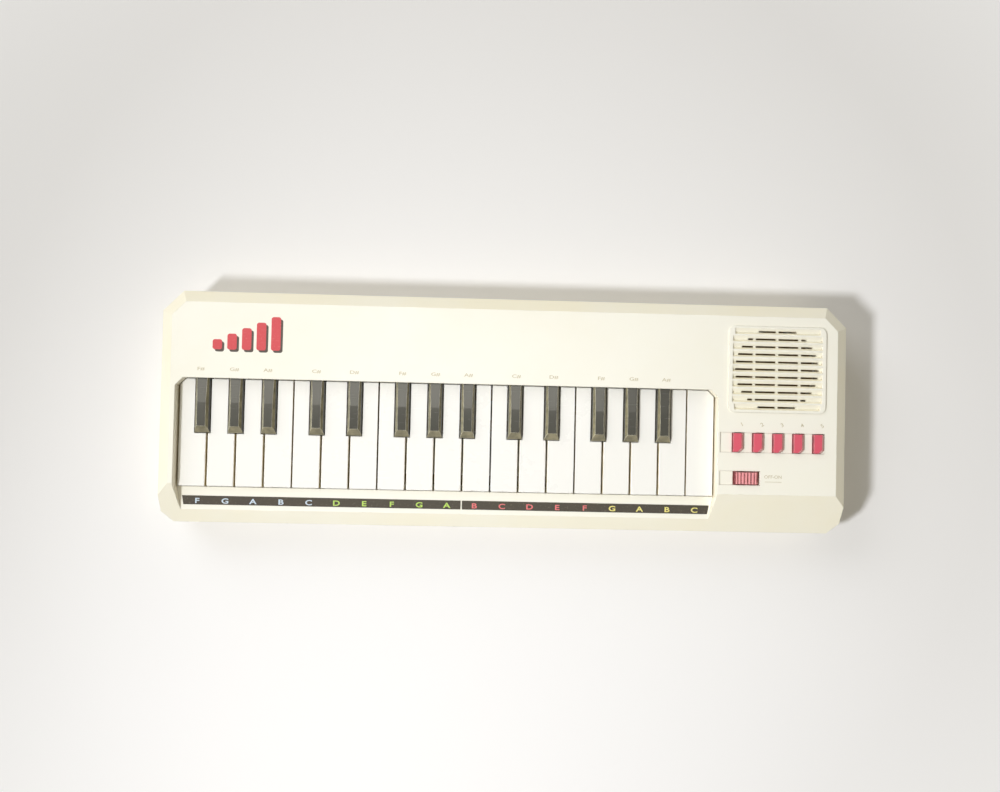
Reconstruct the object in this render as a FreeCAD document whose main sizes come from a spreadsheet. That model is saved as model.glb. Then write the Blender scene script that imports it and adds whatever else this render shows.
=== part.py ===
import FreeCAD, Part
import math
import os

import Sketcher

# A battery-driven mini keyboard with 32 keys, five buttons and a slide switch, in millimetres.
# X runs to the right, Y to the back and Z up. The origin is on the table, under the middle of the case.

WHITE_KEYS = 19
LABEL_SPLIT_KEYS = 10
BUTTONS = 5
LOUVRES = 11
GRILLE_RIBS = (-1, 0, 1)
KNOB_GROOVES = 6
DOOR_RIDGES = 4
SPEAKER_SCREW_TURNS = (70, 190, 330)
# White keys run F G A B C D E. Each entry gives the side that the black key after it leans to.
BLACK_LEAN = {0: -1, 1: 0, 2: 1, 4: -1, 5: 1}
# A side of an octagon moves in by this share of the inset that its two neighbours get.
ROOT_TWO = math.sqrt(2)
CORNER_SHRINK = 2 - ROOT_TWO

SIZES = (
    # Case
    ("panel_height", 40.0, "top panel above the table"),
    ("foot_height", 2.0, "rubber feet"),
    ("foot_radius", 6.0, "rubber feet"),
    ("foot_inset", 37.0, "foot centre from the case ends"),
    ("foot_setback", 14.0, "foot centre from the case front and rear"),
    ("wall", 2.4, "moulded wall of both case halves"),
    ("parting_height", 16.0, "joint of the two case halves above the table"),
    ("bevel_run", 6.8, "bevel round the top panel, seen from above"),
    ("bevel_drop", 4.5, "bevel round the top panel, height"),
    ("rear_corner_cut", 12.0, "cut rear corners of the case"),
    ("front_corner_cut", 6.5, "cut front corners of the case"),
    ("slope_run", 24.3, "front slope, seen from above"),
    ("slope_drop", 15.0, "front slope, height"),
    ("left_margin", 10.2, "case left of the keys"),
    ("panel_width", 80.04, "case right of the keys, with the controls"),
    ("front_setback", 22.3, "case in front of the keys"),
    ("rear_deck", 51.9, "case behind the key well"),
    ("seam_depth", 0.5, "shadow line round the joint of the case halves"),
    ("seam_height", 0.6, "shadow line round the joint of the case halves"),
    ("bite", 0.5, "depth that ribs and bosses are rooted in a wall"),
    ("edge_round", 0.6, "small rounds on moulded edges"),
    # Key well and ledge
    ("well_clearance", 0.6, "well side beyond the key field"),
    ("well_front_gap", 0.45, "ledge from the key fronts"),
    ("well_corner_cut", 4.6, "cut rear corners of the well"),
    ("well_wall_drop", 16.0, "well walls below the panel"),
    ("ledge_drop", 10.0, "ledge in front of the keys below the panel"),
    ("ledge_slant", 2.4, "ledge ends lean in by this much"),
    ("label_setback", 5.5, "label strip from the rear of the ledge"),
    ("label_width", 5.3, "label strip"),
    ("label_thickness", 0.3, "label strip"),
    ("label_left_margin", 2.2, "label strip from the left end of the ledge"),
    ("label_right_margin", 1.36, "label strip from the right end of the ledge"),
    ("label_split", 0.9, "gap between the two lengths of label"),
    # Keys
    ("key_pitch", 17.04, "white key spacing"),
    ("key_gap", 0.9, "between white keys"),
    ("key_reach", 64.8, "white key from its front to the rear of the well"),
    ("key_top_drop", 7.0, "white key tops below the panel"),
    ("key_height", 7.0, "white key moulding"),
    ("key_skin", 1.5, "walls of the hollow key mouldings"),
    ("key_travel", 4.0, "key front, up to down"),
    ("key_landing", 0.2, "clearance of a pressed key above the felt"),
    ("black_width", 8.9, "black key at its foot"),
    ("black_reach", 32.6, "black key from its front to the rear of the well"),
    ("black_rise", 4.0, "black key above the white keys"),
    ("black_foot_rise", 0.4, "black key sides start to lean in here"),
    ("black_shoulder_width", 7.7, "black key where its sides turn to the bevel"),
    ("black_shoulder_rise", 2.3, "black key where its sides turn to the bevel"),
    ("black_top_width", 5.2, "black key top face"),
    ("black_front_run", 4.0, "black key front face leans back"),
    ("black_flat", 14.0, "level stretch of the black key top"),
    ("black_panel_gap", 1.2, "black key below the underside of the panel"),
    ("black_hollow_rise", 1.0, "hollow of a black key above the white key tops"),
    ("black_lean", 2.7, "outer black keys of a group off the gap between white keys"),
    ("black_gap", 0.45, "between black and white keys"),
    # Key pivot
    ("rear_gap", 0.4, "white key tops from the rear of the well"),
    ("rear_dip", 3.0, "white keys step down behind their tops"),
    ("corner_lip", 0.8, "walls of the cut corners reach below the white key tops"),
    ("arm_setback", 6.0, "key arms start behind the well"),
    ("arm_inset", 1.0, "key arms narrower than the keys on each side"),
    ("pivot_setback", 25.5, "pivot rod behind the well"),
    ("pivot_drop", 4.0, "pivot rod below the white key tops"),
    ("key_tail", 4.5, "key behind the pivot rod"),
    ("rod_diameter", 3.0, "pivot rod"),
    ("rod_overhang", 0.5, "pivot rod beyond its end hangers"),
    ("running_clearance", 0.05, "key bore round the rod, on the radius"),
    ("hanger_thickness", 2.0, "rod hangers along the rod"),
    ("hanger_half_depth", 4.0, "rod hangers to each side of the rod"),
    # Key contacts
    ("contact_reach", 41.0, "contact domes in front of the pivot"),
    ("plunger_depth", 4.0, "key plunger front to back"),
    ("plunger_width", 4.0, "key plunger side to side"),
    ("plunger_drop", 1.3, "key plunger below the key"),
    ("contact_gap", 0.3, "between a plunger and its dome"),
    ("dome_radius", 2.6, "rubber domes"),
    ("dome_height", 2.0, "rubber domes"),
    ("rubber_base", 0.8, "rubber sheet under the domes"),
    ("rubber_depth", 12.0, "rubber sheet front to back"),
    ("board_thickness", 1.6, "circuit boards"),
    ("key_board_depth", 26.0, "key board front to back"),
    ("key_board_inset", 2.0, "key board from the ends of the key field"),
    ("rib_thickness", 2.0, "ribs of the bottom case"),
    ("rib_inset", 3.0, "board ribs from the edges of the key board"),
    ("felt_setback", 6.0, "felt strip behind the key fronts"),
    ("felt_depth", 6.0, "felt strip front to back"),
    ("felt_thickness", 2.0, "felt strip"),
    # Speaker and grille
    ("speaker_inset", 43.8, "speaker centre from the right end"),
    ("speaker_setback", 38.9, "speaker centre from the rear"),
    ("speaker_radius", 28.5, "speaker rim"),
    ("rim_width", 3.9, "speaker rim"),
    ("sheet_metal", 1.2, "speaker basket"),
    ("basket_depth", 11.7, "speaker basket behind its rim"),
    ("back_plate_radius", 13.0, "speaker basket"),
    ("magnet_radius", 15.0, "speaker magnet"),
    ("magnet_height", 7.0, "speaker magnet"),
    ("cone_clearance", 0.3, "speaker cone inside the basket"),
    ("cone_thickness", 0.8, "speaker cone"),
    ("cone_neck_radius", 9.0, "speaker cone at the dust cap"),
    ("cone_neck_depth", 7.5, "speaker cone at the dust cap"),
    ("dust_cap_rise", 2.5, "dust cap above the neck of the cone"),
    ("ring_depth", 5.0, "ring that carries the speaker below the panel"),
    ("ring_thickness", 1.6, "ring that carries the speaker"),
    ("slot_radius", 25.7, "round field of the grille slots"),
    ("slot_height", 1.1, "grille slots"),
    ("louvre_pitch", 4.58, "grille louvres"),
    ("groove_height", 2.6, "saw-tooth grooves between the louvres"),
    ("groove_depth", 1.5, "saw-tooth grooves between the louvres"),
    ("groove_length", 54.8, "saw-tooth grooves between the louvres"),
    ("groove_front", 1.1, "short front slope of a groove"),
    ("groove_end_cut", 1.2, "first and last grooves are shorter at both ends"),
    ("plateau_length", 59.6, "raised field of the grille"),
    ("plateau_depth", 52.2, "raised field of the grille"),
    ("plateau_rise", 0.8, "raised field of the grille"),
    ("plateau_round", 4.0, "corners of the raised field"),
    ("grille_rib_pitch", 13.95, "ribs across the slots"),
    ("grille_rib_width", 1.4, "ribs across the slots"),
    # Buttons
    ("button_inset", 42.7, "middle of the button row from the right end"),
    ("button_setback", 31.35, "middle of the button row behind the slope"),
    ("button_pitch", 12.3, "push buttons"),
    ("button_length", 6.4, "push buttons, along X"),
    ("button_depth", 11.3, "push buttons, along Y"),
    ("button_corner_cut", 1.8, "cut corner of each button"),
    ("button_rise", 2.2, "push buttons above the panel"),
    ("button_bevel", 1.5, "bevel along the right side of each button"),
    ("button_fit", 0.25, "opening round a button"),
    ("button_flange", 1.1, "flange beyond a button"),
    ("flange_thickness", 1.2, "flanges under the panel"),
    ("flange_gap", 0.3, "flanges below the underside of the panel"),
    ("stem_width", 4.0, "button stems, square"),
    ("band_margin", 0.35, "shallow bands round the controls"),
    ("band_depth", 0.5, "shallow bands round the controls"),
    ("band_start", 1.44, "bands start right of the well"),
    # Slide switch
    ("switch_start", 9.54, "switch slot right of the well"),
    ("switch_setback", 9.9, "switch slot behind the top of the slope"),
    ("switch_slot_length", 16.4, "switch slot"),
    ("switch_slot_width", 8.5, "switch slot"),
    ("knob_start", 1.3, "knob from the left end of its slot"),
    ("knob_length", 12.4, "switch knob"),
    ("knob_width", 7.0, "switch knob"),
    ("knob_rise", 2.0, "switch knob above the panel"),
    ("knob_flange", 2.4, "slider plate beyond the knob"),
    ("knob_groove", 0.9, "grooves across the knob"),
    ("knob_groove_pitch", 2.0, "grooves across the knob"),
    ("switch_body_length", 15.0, "slide switch"),
    ("switch_body_width", 7.5, "slide switch"),
    # Control board
    ("board_drop", 8.0, "control board below the panel"),
    ("board_margin", 3.0, "control board from the well wall"),
    ("board_end_margin", 9.0, "control board from the right wall"),
    ("board_front_margin", 2.0, "control board behind the top of the slope"),
    ("board_rear_margin", 9.0, "control board behind the buttons"),
    ("board_boss_inset", 4.0, "board bosses from the board corners"),
    ("small_boss_radius", 2.6, "board and speaker bosses"),
    ("small_screw_radius", 1.2, "board and speaker screws"),
    ("small_screw_length", 5.0, "board and speaker screws"),
    ("small_head_radius", 2.3, "board and speaker screws"),
    ("small_head_height", 1.5, "board and speaker screws"),
    ("washer_radius", 5.0, "speaker screw washers"),
    ("washer_thickness", 0.8, "speaker screw washers"),
    ("speaker_boss_gap", 3.6, "speaker bosses from the speaker rim"),
    ("chip_radius", 7.0, "sound chip under its potting"),
    ("chip_height", 1.5, "sound chip under its potting"),
    ("capacitor_radius", 4.0, "capacitor on the control board"),
    ("capacitor_height", 8.0, "capacitor on the control board"),
    # Case screws
    ("screw_radius", 1.5, "case screws"),
    ("screw_length", 14.0, "case screws"),
    ("head_radius", 2.8, "case screws"),
    ("head_height", 2.0, "case screws"),
    ("screw_seat", 6.0, "screw seats above the underside of the case"),
    ("screw_clearance", 0.1, "holes round the case screws"),
    ("boss_radius", 3.5, "screw bosses of the top case"),
    ("post_radius", 4.5, "screw posts of the bottom case"),
    ("post_bore", 3.3, "screw wells of the bottom case"),
    ("screw_end_inset", 17.0, "rear screws from the case ends"),
    ("screw_rear_inset", 13.0, "rear screws from the rear"),
    ("screw_field_inset", 12.0, "front screws from the ends of the key field"),
    ("screw_side_setback", 15.0, "side screw behind the top of the slope"),
    ("screw_bay_gap", 10.0, "rear screw from the battery bay"),
    ("screw_well_gap", 8.0, "rear screw from the right end of the key field"),
    # Battery bay
    ("bay_length", 106.0, "battery bay"),
    ("bay_depth", 31.0, "battery bay"),
    ("bay_clear_height", 18.2, "battery bay above the underside of the case"),
    ("bay_wall", 3.2, "battery bay walls"),
    ("bay_offset", 57.5, "battery bay left of the middle"),
    ("bay_slack", 0.3, "battery bay from the rear wall"),
    ("bay_roof", 1.6, "battery bay roof"),
    ("door_lip", 1.1, "lip that the door slides on"),
    ("door_gap", 0.2, "round the door"),
    ("door_tongue", 1.6, "door tongues in their grooves"),
    ("tongue_thickness", 1.0, "door tongues in their grooves"),
    ("slide_clearance", 0.1, "above and below the door tongues"),
    ("door_ridge_length", 24.0, "grip ridges on the door"),
    ("door_ridge_width", 1.4, "grip ridges on the door"),
    ("door_ridge_pitch", 3.2, "grip ridges on the door"),
    ("door_ridge_height", 0.5, "grip ridges on the door"),
    ("door_ridge_setback", 8.0, "last grip ridge from the rear edge"),
    ("cell_spacing", 15.4, "between the two rows of cells"),
    ("contact_plate", 11.0, "battery contacts, square"),
    ("contact_sheet", 0.5, "battery contacts"),
    ("contact_spring_radius", 4.2, "coned spring at the plate"),
    ("contact_spring_tip", 2.2, "coned spring at the cell"),
    ("contact_spring_height", 3.0, "coned spring"),
    # Wiring
    ("ribbon_width", 6.0, "ribbon cable"),
    ("ribbon_thickness", 0.6, "ribbon cable"),
    ("ribbon_start", 14.0, "ribbon cable left of the end of the key field"),
    ("ribbon_landing", 8.0, "ribbon cable right of the edge of the control board"),
    ("ribbon_inset", 0.8, "ribbon cable behind the front of the key board"),
    ("lead_diameter", 1.2, "wires"),
    ("lead_spacing", 2.5, "between the two wires of a pair"),
    ("lead_bend", 3.0, "wires, bend radius"),
    ("speaker_lead_drop", 7.0, "speaker wires below the rim"),
    ("speaker_lead_landing", 4.0, "speaker wires in from the rear edge of the board"),
    ("battery_lead_height", 12.0, "battery wires above the table"),
    ("battery_lead_landing", 8.0, "battery wires in from the rear edge of the board"),
)

doc = FreeCAD.newDocument("toy_keyboard")
sheet = doc.addObject("Spreadsheet::Sheet", "Sizes")
for row, (alias, size, note) in enumerate(SIZES, start=1):
    sheet.set(f"A{row}", alias)
    sheet.set(f"B{row}", str(size))
    sheet.setAlias(f"B{row}", alias)
    sheet.set(f"C{row}", note)
doc.recompute()


class Dim:
    """A length that carries its number and the spreadsheet expression that gives it."""

    def __init__(self, number, text):
        self.number = float(number)
        self.text = text

    def __add__(self, other):
        other = dim(other)
        return Dim(self.number + other.number, f"({self.text} + {other.text})")

    def __sub__(self, other):
        other = dim(other)
        return Dim(self.number - other.number, f"({self.text} - {other.text})")

    def __mul__(self, other):
        other = dim(other)
        return Dim(self.number * other.number, f"({self.text} * {other.text})")

    def __truediv__(self, other):
        other = dim(other)
        return Dim(self.number / other.number, f"({self.text} / {other.text})")

    def __rsub__(self, other):
        return dim(other) - self

    def __neg__(self):
        return Dim(-self.number, f"(0 - {self.text})")

    __radd__ = __add__
    __rmul__ = __mul__


def dim(value):
    """Gives a plain number the same form as a size from the sheet."""
    if isinstance(value, Dim):
        return value
    return Dim(value, f"({float(value)!r})")


def root(value):
    """Square root of a size."""
    return Dim(math.sqrt(value.number), f"sqrt({value.text})")


class Sheet:
    """Gives each size of the spreadsheet under its own name."""

    def __getattr__(self, alias):
        return Dim(sheet.get(alias), f"Sizes.{alias}")


s = Sheet()

# Places that follow from the sizes
case_length = s.left_margin + WHITE_KEYS * s.key_pitch + s.panel_width
case_depth = s.front_setback + s.key_reach + s.rear_deck
right = case_length / 2
left = -right
rear = case_depth / 2
front = -rear
field_left = left + s.left_margin
field_right = field_left + WHITE_KEYS * s.key_pitch
key_front = front + s.front_setback
well_back = key_front + s.key_reach
well_left = field_left - s.well_clearance
well_right = field_right + s.well_clearance
well_front = key_front - s.well_front_gap

panel_under = s.panel_height - s.wall
bevel_base = s.panel_height - s.bevel_drop
well_wall_foot = s.panel_height - s.well_wall_drop
ledge_top = s.panel_height - s.ledge_drop
ledge_under = ledge_top - s.wall
slope_top = front + s.slope_run
ledge_front = front + s.slope_run * (s.slope_drop - s.ledge_drop) / s.slope_drop
floor_top = s.foot_height + s.wall

key_top = s.panel_height - s.key_top_drop
key_bottom = key_top - s.key_height
pivot_y = well_back + s.pivot_setback
pivot_z = key_top - s.pivot_drop
top_rear = well_back - s.rear_gap
hollow_rear = well_back - s.well_corner_cut - s.rear_gap - s.key_skin
arm_y = well_back + s.arm_setback
tail_y = pivot_y + s.key_tail
black_front = well_back - s.black_reach
notch_y = black_front - s.black_gap
contact_y = pivot_y - s.contact_reach
plunger_foot = key_bottom - s.plunger_drop
key_rubber_top = plunger_foot - s.contact_gap - s.dome_height
key_board_top = key_rubber_top - s.rubber_base
key_board_under = key_board_top - s.board_thickness
key_board_front = contact_y - s.key_board_depth / 2
felt_top = key_bottom - s.key_travel - s.key_landing
felt_y = key_front + s.felt_setback

speaker_x = right - s.speaker_inset
speaker_y = rear - s.speaker_setback
rim_top = panel_under - s.ring_depth
rim_under = rim_top - s.sheet_metal
button_x = right - s.button_inset
button_y = slope_top + s.button_setback
button_rear = button_y + s.button_depth / 2
slot_left = well_right + s.switch_start
switch_y = slope_top + s.switch_setback
knob_left = slot_left + s.knob_start
flange_top = panel_under - s.flange_gap
flange_under = flange_top - s.flange_thickness

board_left = well_right + s.wall + s.board_margin
board_right = right - s.wall - s.board_end_margin
board_front = slope_top + s.board_front_margin
board_rear = button_rear + s.board_rear_margin
board_top = panel_under - s.board_drop
board_under = board_top - s.board_thickness
button_rubber_top = board_top + s.rubber_base
button_dome_top = button_rubber_top + s.dome_height
button_foot = button_dome_top + s.contact_gap

bay_left = -s.bay_offset - s.bay_length / 2
bay_right = bay_left + s.bay_length
bay_rear = rear - s.wall - s.bay_slack - s.bay_wall
bay_front = bay_rear - s.bay_depth
bay_end = bay_right + s.bay_wall
bay_ceiling = s.foot_height + s.bay_clear_height
tongue_foot = s.foot_height + s.door_lip + s.slide_clearance

rear_screw_y = rear - s.screw_rear_inset
deck_screws = (
    (left + s.screw_end_inset, rear_screw_y),
    (bay_end + s.screw_bay_gap, rear_screw_y),
    (field_right - s.screw_well_gap, rear_screw_y),
    (right - s.screw_end_inset, rear_screw_y),
)
ledge_screw_y = (well_front - s.wall + ledge_front) / 2
ledge_screws = (
    (field_left + s.screw_field_inset, ledge_screw_y),
    ((field_left + field_right) / 2, ledge_screw_y),
    (field_right - s.screw_field_inset, ledge_screw_y),
)
side_screws = ((right - s.wall - s.boss_radius, slope_top + s.screw_side_setback),)
case_screw_places = deck_screws + ledge_screws + side_screws

boss_low_x = board_left + s.board_boss_inset
boss_high_x = board_right - s.board_boss_inset
boss_low_y = board_front + s.board_boss_inset
boss_high_y = board_rear - s.board_boss_inset
switch_plate_rear = switch_y + s.knob_width / 2 + s.knob_flange
button_flange_front = button_y - s.button_depth / 2 - s.button_flange
board_screw_places = (
    (boss_low_x, (switch_plate_rear + button_flange_front) / 2),
    (boss_high_x, boss_low_y),
    (boss_low_x, boss_high_y),
    (boss_high_x, boss_high_y),
)
speaker_boss_radius = s.speaker_radius + s.speaker_boss_gap
speaker_screw_places = tuple(
    (
        speaker_x + speaker_boss_radius * round(math.cos(math.radians(turn)), 6),
        speaker_y + speaker_boss_radius * round(math.sin(math.radians(turn)), 6),
    )
    for turn in SPEAKER_SCREW_TURNS
)

sub_parts = []


def keep(made, label):
    """Names a finished sub-part and puts it on the list of pieces to write."""
    made.Label = label
    sub_parts.append(made)
    return made


# Sketches and features

def new_body(name):
    return doc.addObject("PartDesign::Body", name)


def sketch_on(body, role, name, height):
    """Adds a sketch on one of the body's own origin planes, moved along its normal."""
    sketch = body.newObject("Sketcher::SketchObject", name)
    plane = next(part for part in body.Origin.OriginFeatures if part.Role == role)
    sketch.AttachmentSupport = [(plane, "")]
    sketch.MapMode = "FlatFace"
    sketch.setExpression("AttachmentOffset.Base.z", dim(height).text)
    return sketch


def bind(sketch, constraints):
    """Adds constraints, each a kind, its geometry, its point and the size that drives it."""
    plain = [Sketcher.Constraint(kind, *where, size.number) for kind, where, size in constraints]
    numbers = sketch.addConstraint(plain)
    for number, (kind, where, size) in zip(numbers, constraints):
        sketch.setExpression(f"Constraints[{number}]", size.text)


def draw_polygons(sketch, outlines):
    """Draws closed outlines whose corners are pinned by sizes of the sheet."""
    for points in outlines:
        first = sketch.GeometryCount
        count = len(points)
        places = [(dim(x), dim(y)) for x, y in points]
        corners = [FreeCAD.Vector(x.number, y.number, 0) for x, y in places]
        sides = [Part.LineSegment(corners[i], corners[(i + 1) % count]) for i in range(count)]
        sketch.addGeometry(sides, False)
        ends = [(first + i, 2, first + (i + 1) % count, 1) for i in range(count)]
        sketch.addConstraint([Sketcher.Constraint("Coincident", *end) for end in ends])
        pins = []
        for i, (x, y) in enumerate(places):
            pins.append(("DistanceX", (first + i, 1), x))
            pins.append(("DistanceY", (first + i, 1), y))
        bind(sketch, pins)
    return sketch


def draw_circles(sketch, centres, radius):
    """Draws circles of one radius round the given centres."""
    for x, y in centres:
        x = dim(x)
        y = dim(y)
        middle = FreeCAD.Vector(x.number, y.number, 0)
        index = sketch.addGeometry(Part.Circle(middle, FreeCAD.Vector(0, 0, 1), radius.number), False)
        bind(sketch, [
            ("DistanceX", (index, 3), x),
            ("DistanceY", (index, 3), y),
            ("Radius", (index,), radius),
        ])
    return sketch


def rectangle(x_low, x_high, y_low, y_high):
    return [(x_low, y_low), (x_high, y_low), (x_high, y_high), (x_low, y_high)]


def extrude(body, kind, sketch, length, reverse=False, both_ways=False):
    """Pads or pockets a sketch; a length of None goes through everything."""
    made = body.newObject(kind, f"{sketch.Name}_{kind.split('::')[1].lower()}")
    made.Profile = sketch
    if length is None:
        made.Type = "ThroughAll"
    else:
        made.setExpression("Length", dim(length).text)
    made.SideType = "Symmetric" if both_ways else "One side"
    made.Reversed = reverse
    return made


def pad_up(body, name, outlines, low, high):
    """Pads outlines seen from above, from one height up to another."""
    sketch = draw_polygons(sketch_on(body, "XY_Plane", name, low), outlines)
    return extrude(body, "PartDesign::Pad", sketch, dim(high) - low)


def pad_circles(body, name, centres, radius, low, high):
    sketch = draw_circles(sketch_on(body, "XY_Plane", name, low), centres, radius)
    return extrude(body, "PartDesign::Pad", sketch, dim(high) - low)


def cut_down(body, name, outlines, high, low):
    """Cuts outlines seen from above, from one height down to another, or to the bottom."""
    sketch = draw_polygons(sketch_on(body, "XY_Plane", name, high), outlines)
    return extrude(body, "PartDesign::Pocket", sketch, None if low is None else dim(high) - low)


def cut_up(body, name, outlines, low, high):
    """Cuts outlines seen from above, from one height up to another."""
    sketch = draw_polygons(sketch_on(body, "XY_Plane", name, low), outlines)
    return extrude(body, "PartDesign::Pocket", sketch, dim(high) - low, reverse=True)


def drill_up(body, name, centres, radius, low, high):
    sketch = draw_circles(sketch_on(body, "XY_Plane", name, low), centres, radius)
    return extrude(body, "PartDesign::Pocket", sketch, dim(high) - low, reverse=True)


def round_edges(body, base, radius, wanted):
    """Rounds the edges of the base feature that the wanted test picks."""
    doc.recompute()
    picked = [f"Edge{i}" for i, edge in enumerate(base.Shape.Edges, start=1) if wanted(edge)]
    made = body.newObject("PartDesign::Fillet", f"{base.Name}_round")
    made.Base = (base, picked)
    made.setExpression("Radius", radius.text)
    return made


def ends_of(edge):
    return [vertex.Point for vertex in edge.Vertexes]


def near(number, size, slack=1e-4):
    return abs(number - dim(size).number) < slack


def place(made, x, y, z):
    """Puts a primitive at a place that follows the sheet."""
    for axis, size in zip("xyz", (x, y, z)):
        made.setExpression(f"Placement.Base.{axis}", dim(size).text)
    return made


def box(name, x_low, x_high, y_low, y_high, z_low, z_high):
    made = doc.addObject("Part::Box", name)
    made.setExpression("Length", (dim(x_high) - x_low).text)
    made.setExpression("Width", (dim(y_high) - y_low).text)
    made.setExpression("Height", (dim(z_high) - z_low).text)
    return place(made, x_low, y_low, z_low)


def cylinder(name, x, y, z_low, z_high, radius):
    made = doc.addObject("Part::Cylinder", name)
    made.setExpression("Radius", dim(radius).text)
    made.setExpression("Height", (dim(z_high) - z_low).text)
    return place(made, x, y, z_low)


def fuse(name, shapes):
    made = doc.addObject("Part::MultiFuse", name)
    made.Shapes = shapes
    return made


def group(label, shapes):
    """Keeps several separate solids as one sub-part."""
    made = doc.addObject("Part::Compound", label)
    made.Links = shapes
    return keep(made, label)


# Case halves

def case_outline(inset):
    """Corners of the case from above, with every side moved in by the inset."""
    x = right - inset
    y = rear - inset
    back = s.rear_corner_cut - CORNER_SHRINK * dim(inset)
    fore = s.front_corner_cut - CORNER_SHRINK * dim(inset)
    return [
        (-x, fore - y), (fore - x, -y), (x - fore, -y), (x, fore - y),
        (x, y - back), (x - back, y), (back - x, y), (-x, y - back),
    ]


def case_block(body, name, inset, foot, shoulder, crown_inset, crown):
    """Upright walls from foot to shoulder, then the bevel in to the crown."""
    pad_up(body, f"{name}_walls", [case_outline(inset)], foot, shoulder)
    low = draw_polygons(sketch_on(body, "XY_Plane", f"{name}_shoulder", shoulder), [case_outline(inset)])
    high = draw_polygons(sketch_on(body, "XY_Plane", f"{name}_crown", crown), [case_outline(crown_inset)])
    bevel = body.newObject("PartDesign::AdditiveLoft", f"{name}_bevel")
    bevel.Profile = low
    bevel.Sections = [high]
    bevel.Ruled = True


def cut_slope(body, name, drop):
    """Cuts the front slope, lowered by a drop for the inside of the shell."""
    spare = 0.3
    rise = s.panel_height - drop
    high_point = (slope_top + spare * s.slope_run, rise + spare * s.slope_drop)
    low_point = (front - spare * s.slope_run, rise - (1 + spare) * s.slope_drop)
    corner = (front - spare * s.slope_run, rise + spare * s.slope_drop)
    sketch = draw_polygons(sketch_on(body, "YZ_Plane", name, 0), [[high_point, low_point, corner]])
    extrude(body, "PartDesign::Pocket", sketch, None, both_ways=True)


def ledge_outline(margin):
    """The ledge from above, run past the front edge, with its ends moved out by a margin."""
    past = front - s.slope_run
    lean = s.ledge_slant * (well_front - past) / (well_front - ledge_front)
    return [
        (well_left - margin, well_front), (well_left - margin + lean, past),
        (well_right + margin - lean, past), (well_right + margin, well_front),
    ]


def make_top_case():
    """Upper shell with the key well, ledge, grille, control openings, bosses and rod hangers."""
    bevel_face = root(s.bevel_run * s.bevel_run + s.bevel_drop * s.bevel_drop)
    slope_face = root(s.slope_run * s.slope_run + s.slope_drop * s.slope_drop)
    bevel_lift = s.wall * bevel_face / s.bevel_run
    inner_shoulder = bevel_base + s.wall * s.bevel_drop / s.bevel_run - bevel_lift
    inner_crown = (panel_under - bevel_base + bevel_lift) * s.bevel_run / s.bevel_drop

    cavity = new_body("case_cavity")
    inner_foot = s.parting_height - s.bite
    case_block(cavity, "cavity", s.wall, inner_foot, inner_shoulder, inner_crown, panel_under)
    cut_slope(cavity, "cavity_slope", s.wall * slope_face / s.slope_run)
    well_walls = rectangle(
        well_left - s.wall, well_right + s.wall, well_front - s.wall, well_back - s.well_corner_cut
    )
    cut_down(cavity, "cavity_well", [well_walls], s.panel_height, well_wall_foot)
    corners = [corner_wall(well_left, 1), corner_wall(well_right, -1)]
    cut_down(cavity, "cavity_corners", corners, s.panel_height, key_top - s.corner_lip)
    cut_down(cavity, "cavity_ledge", [ledge_outline(s.wall)], s.panel_height, ledge_under)

    body = new_body("top_case")
    seam_top = s.parting_height + s.seam_height
    case_block(body, "case", dim(0), seam_top, bevel_base, s.bevel_run, s.panel_height)
    pad_up(body, "seam", [case_outline(s.seam_depth)], s.parting_height, seam_top)
    cut_slope(body, "front_slope", dim(0))
    cut = s.well_corner_cut
    well = [
        (well_left, well_front), (well_right, well_front), (well_right, well_back - cut),
        (well_right - cut, well_back), (well_left + cut, well_back), (well_left, well_back - cut),
    ]
    cut_down(body, "key_well", [well], s.panel_height, None)
    cut_down(body, "ledge", [ledge_outline(dim(0))], s.panel_height, ledge_top)
    doc.recompute()
    hollow = body.newObject("PartDesign::Boolean", "hollow")
    hollow.Type = "Cut"
    hollow.addObjects([cavity])

    add_case_bosses(body)
    add_rod_hangers(body)
    add_grille(body)
    add_control_openings(body)
    return keep(body, "top_case")


def add_case_bosses(body):
    """Bosses for the case screws, the control board and the speaker, with their pilot holes."""
    foot = s.parting_height
    roof = panel_under + s.bite
    pad_circles(body, "deck_bosses", deck_screws, s.boss_radius, foot, roof)
    pad_circles(body, "ledge_bosses", ledge_screws, s.boss_radius, foot, ledge_under + s.bite)
    pad_circles(body, "side_bosses", side_screws, s.boss_radius + s.bite, foot, bevel_base - s.wall)
    pilot = s.screw_radius + s.screw_clearance
    pilot_top = s.foot_height + s.screw_seat + s.screw_length + s.bite
    drill_up(body, "case_pilots", case_screw_places, pilot, foot, pilot_top)

    pad_circles(body, "board_bosses", board_screw_places, s.small_boss_radius, board_top, roof)
    pad_circles(body, "speaker_bosses", speaker_screw_places, s.small_boss_radius, rim_under, roof)
    small_pilot = s.small_screw_radius + s.screw_clearance
    board_pilot_top = board_under + s.small_screw_length + s.bite
    drill_up(body, "board_pilots", board_screw_places, small_pilot, board_top, board_pilot_top)
    speaker_pilot_top = rim_under - s.washer_thickness + s.small_screw_length + s.bite
    drill_up(body, "speaker_pilots", speaker_screw_places, small_pilot, rim_under, speaker_pilot_top)

    ring = sketch_on(body, "XY_Plane", "speaker_ring", rim_top)
    centre = [(speaker_x, speaker_y)]
    draw_circles(ring, centre, s.slot_radius + s.cone_clearance)
    draw_circles(ring, centre, s.slot_radius + s.cone_clearance + s.ring_thickness)
    extrude(body, "PartDesign::Pad", ring, roof - rim_top)


def hanger_places():
    """Gaps between white keys with no black key between them, and both ends of the row."""
    bare = [i + 1 for i in range(WHITE_KEYS - 1) if i % 7 not in BLACK_LEAN]
    return [field_left + count * s.key_pitch for count in [0] + bare + [WHITE_KEYS]]


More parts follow.
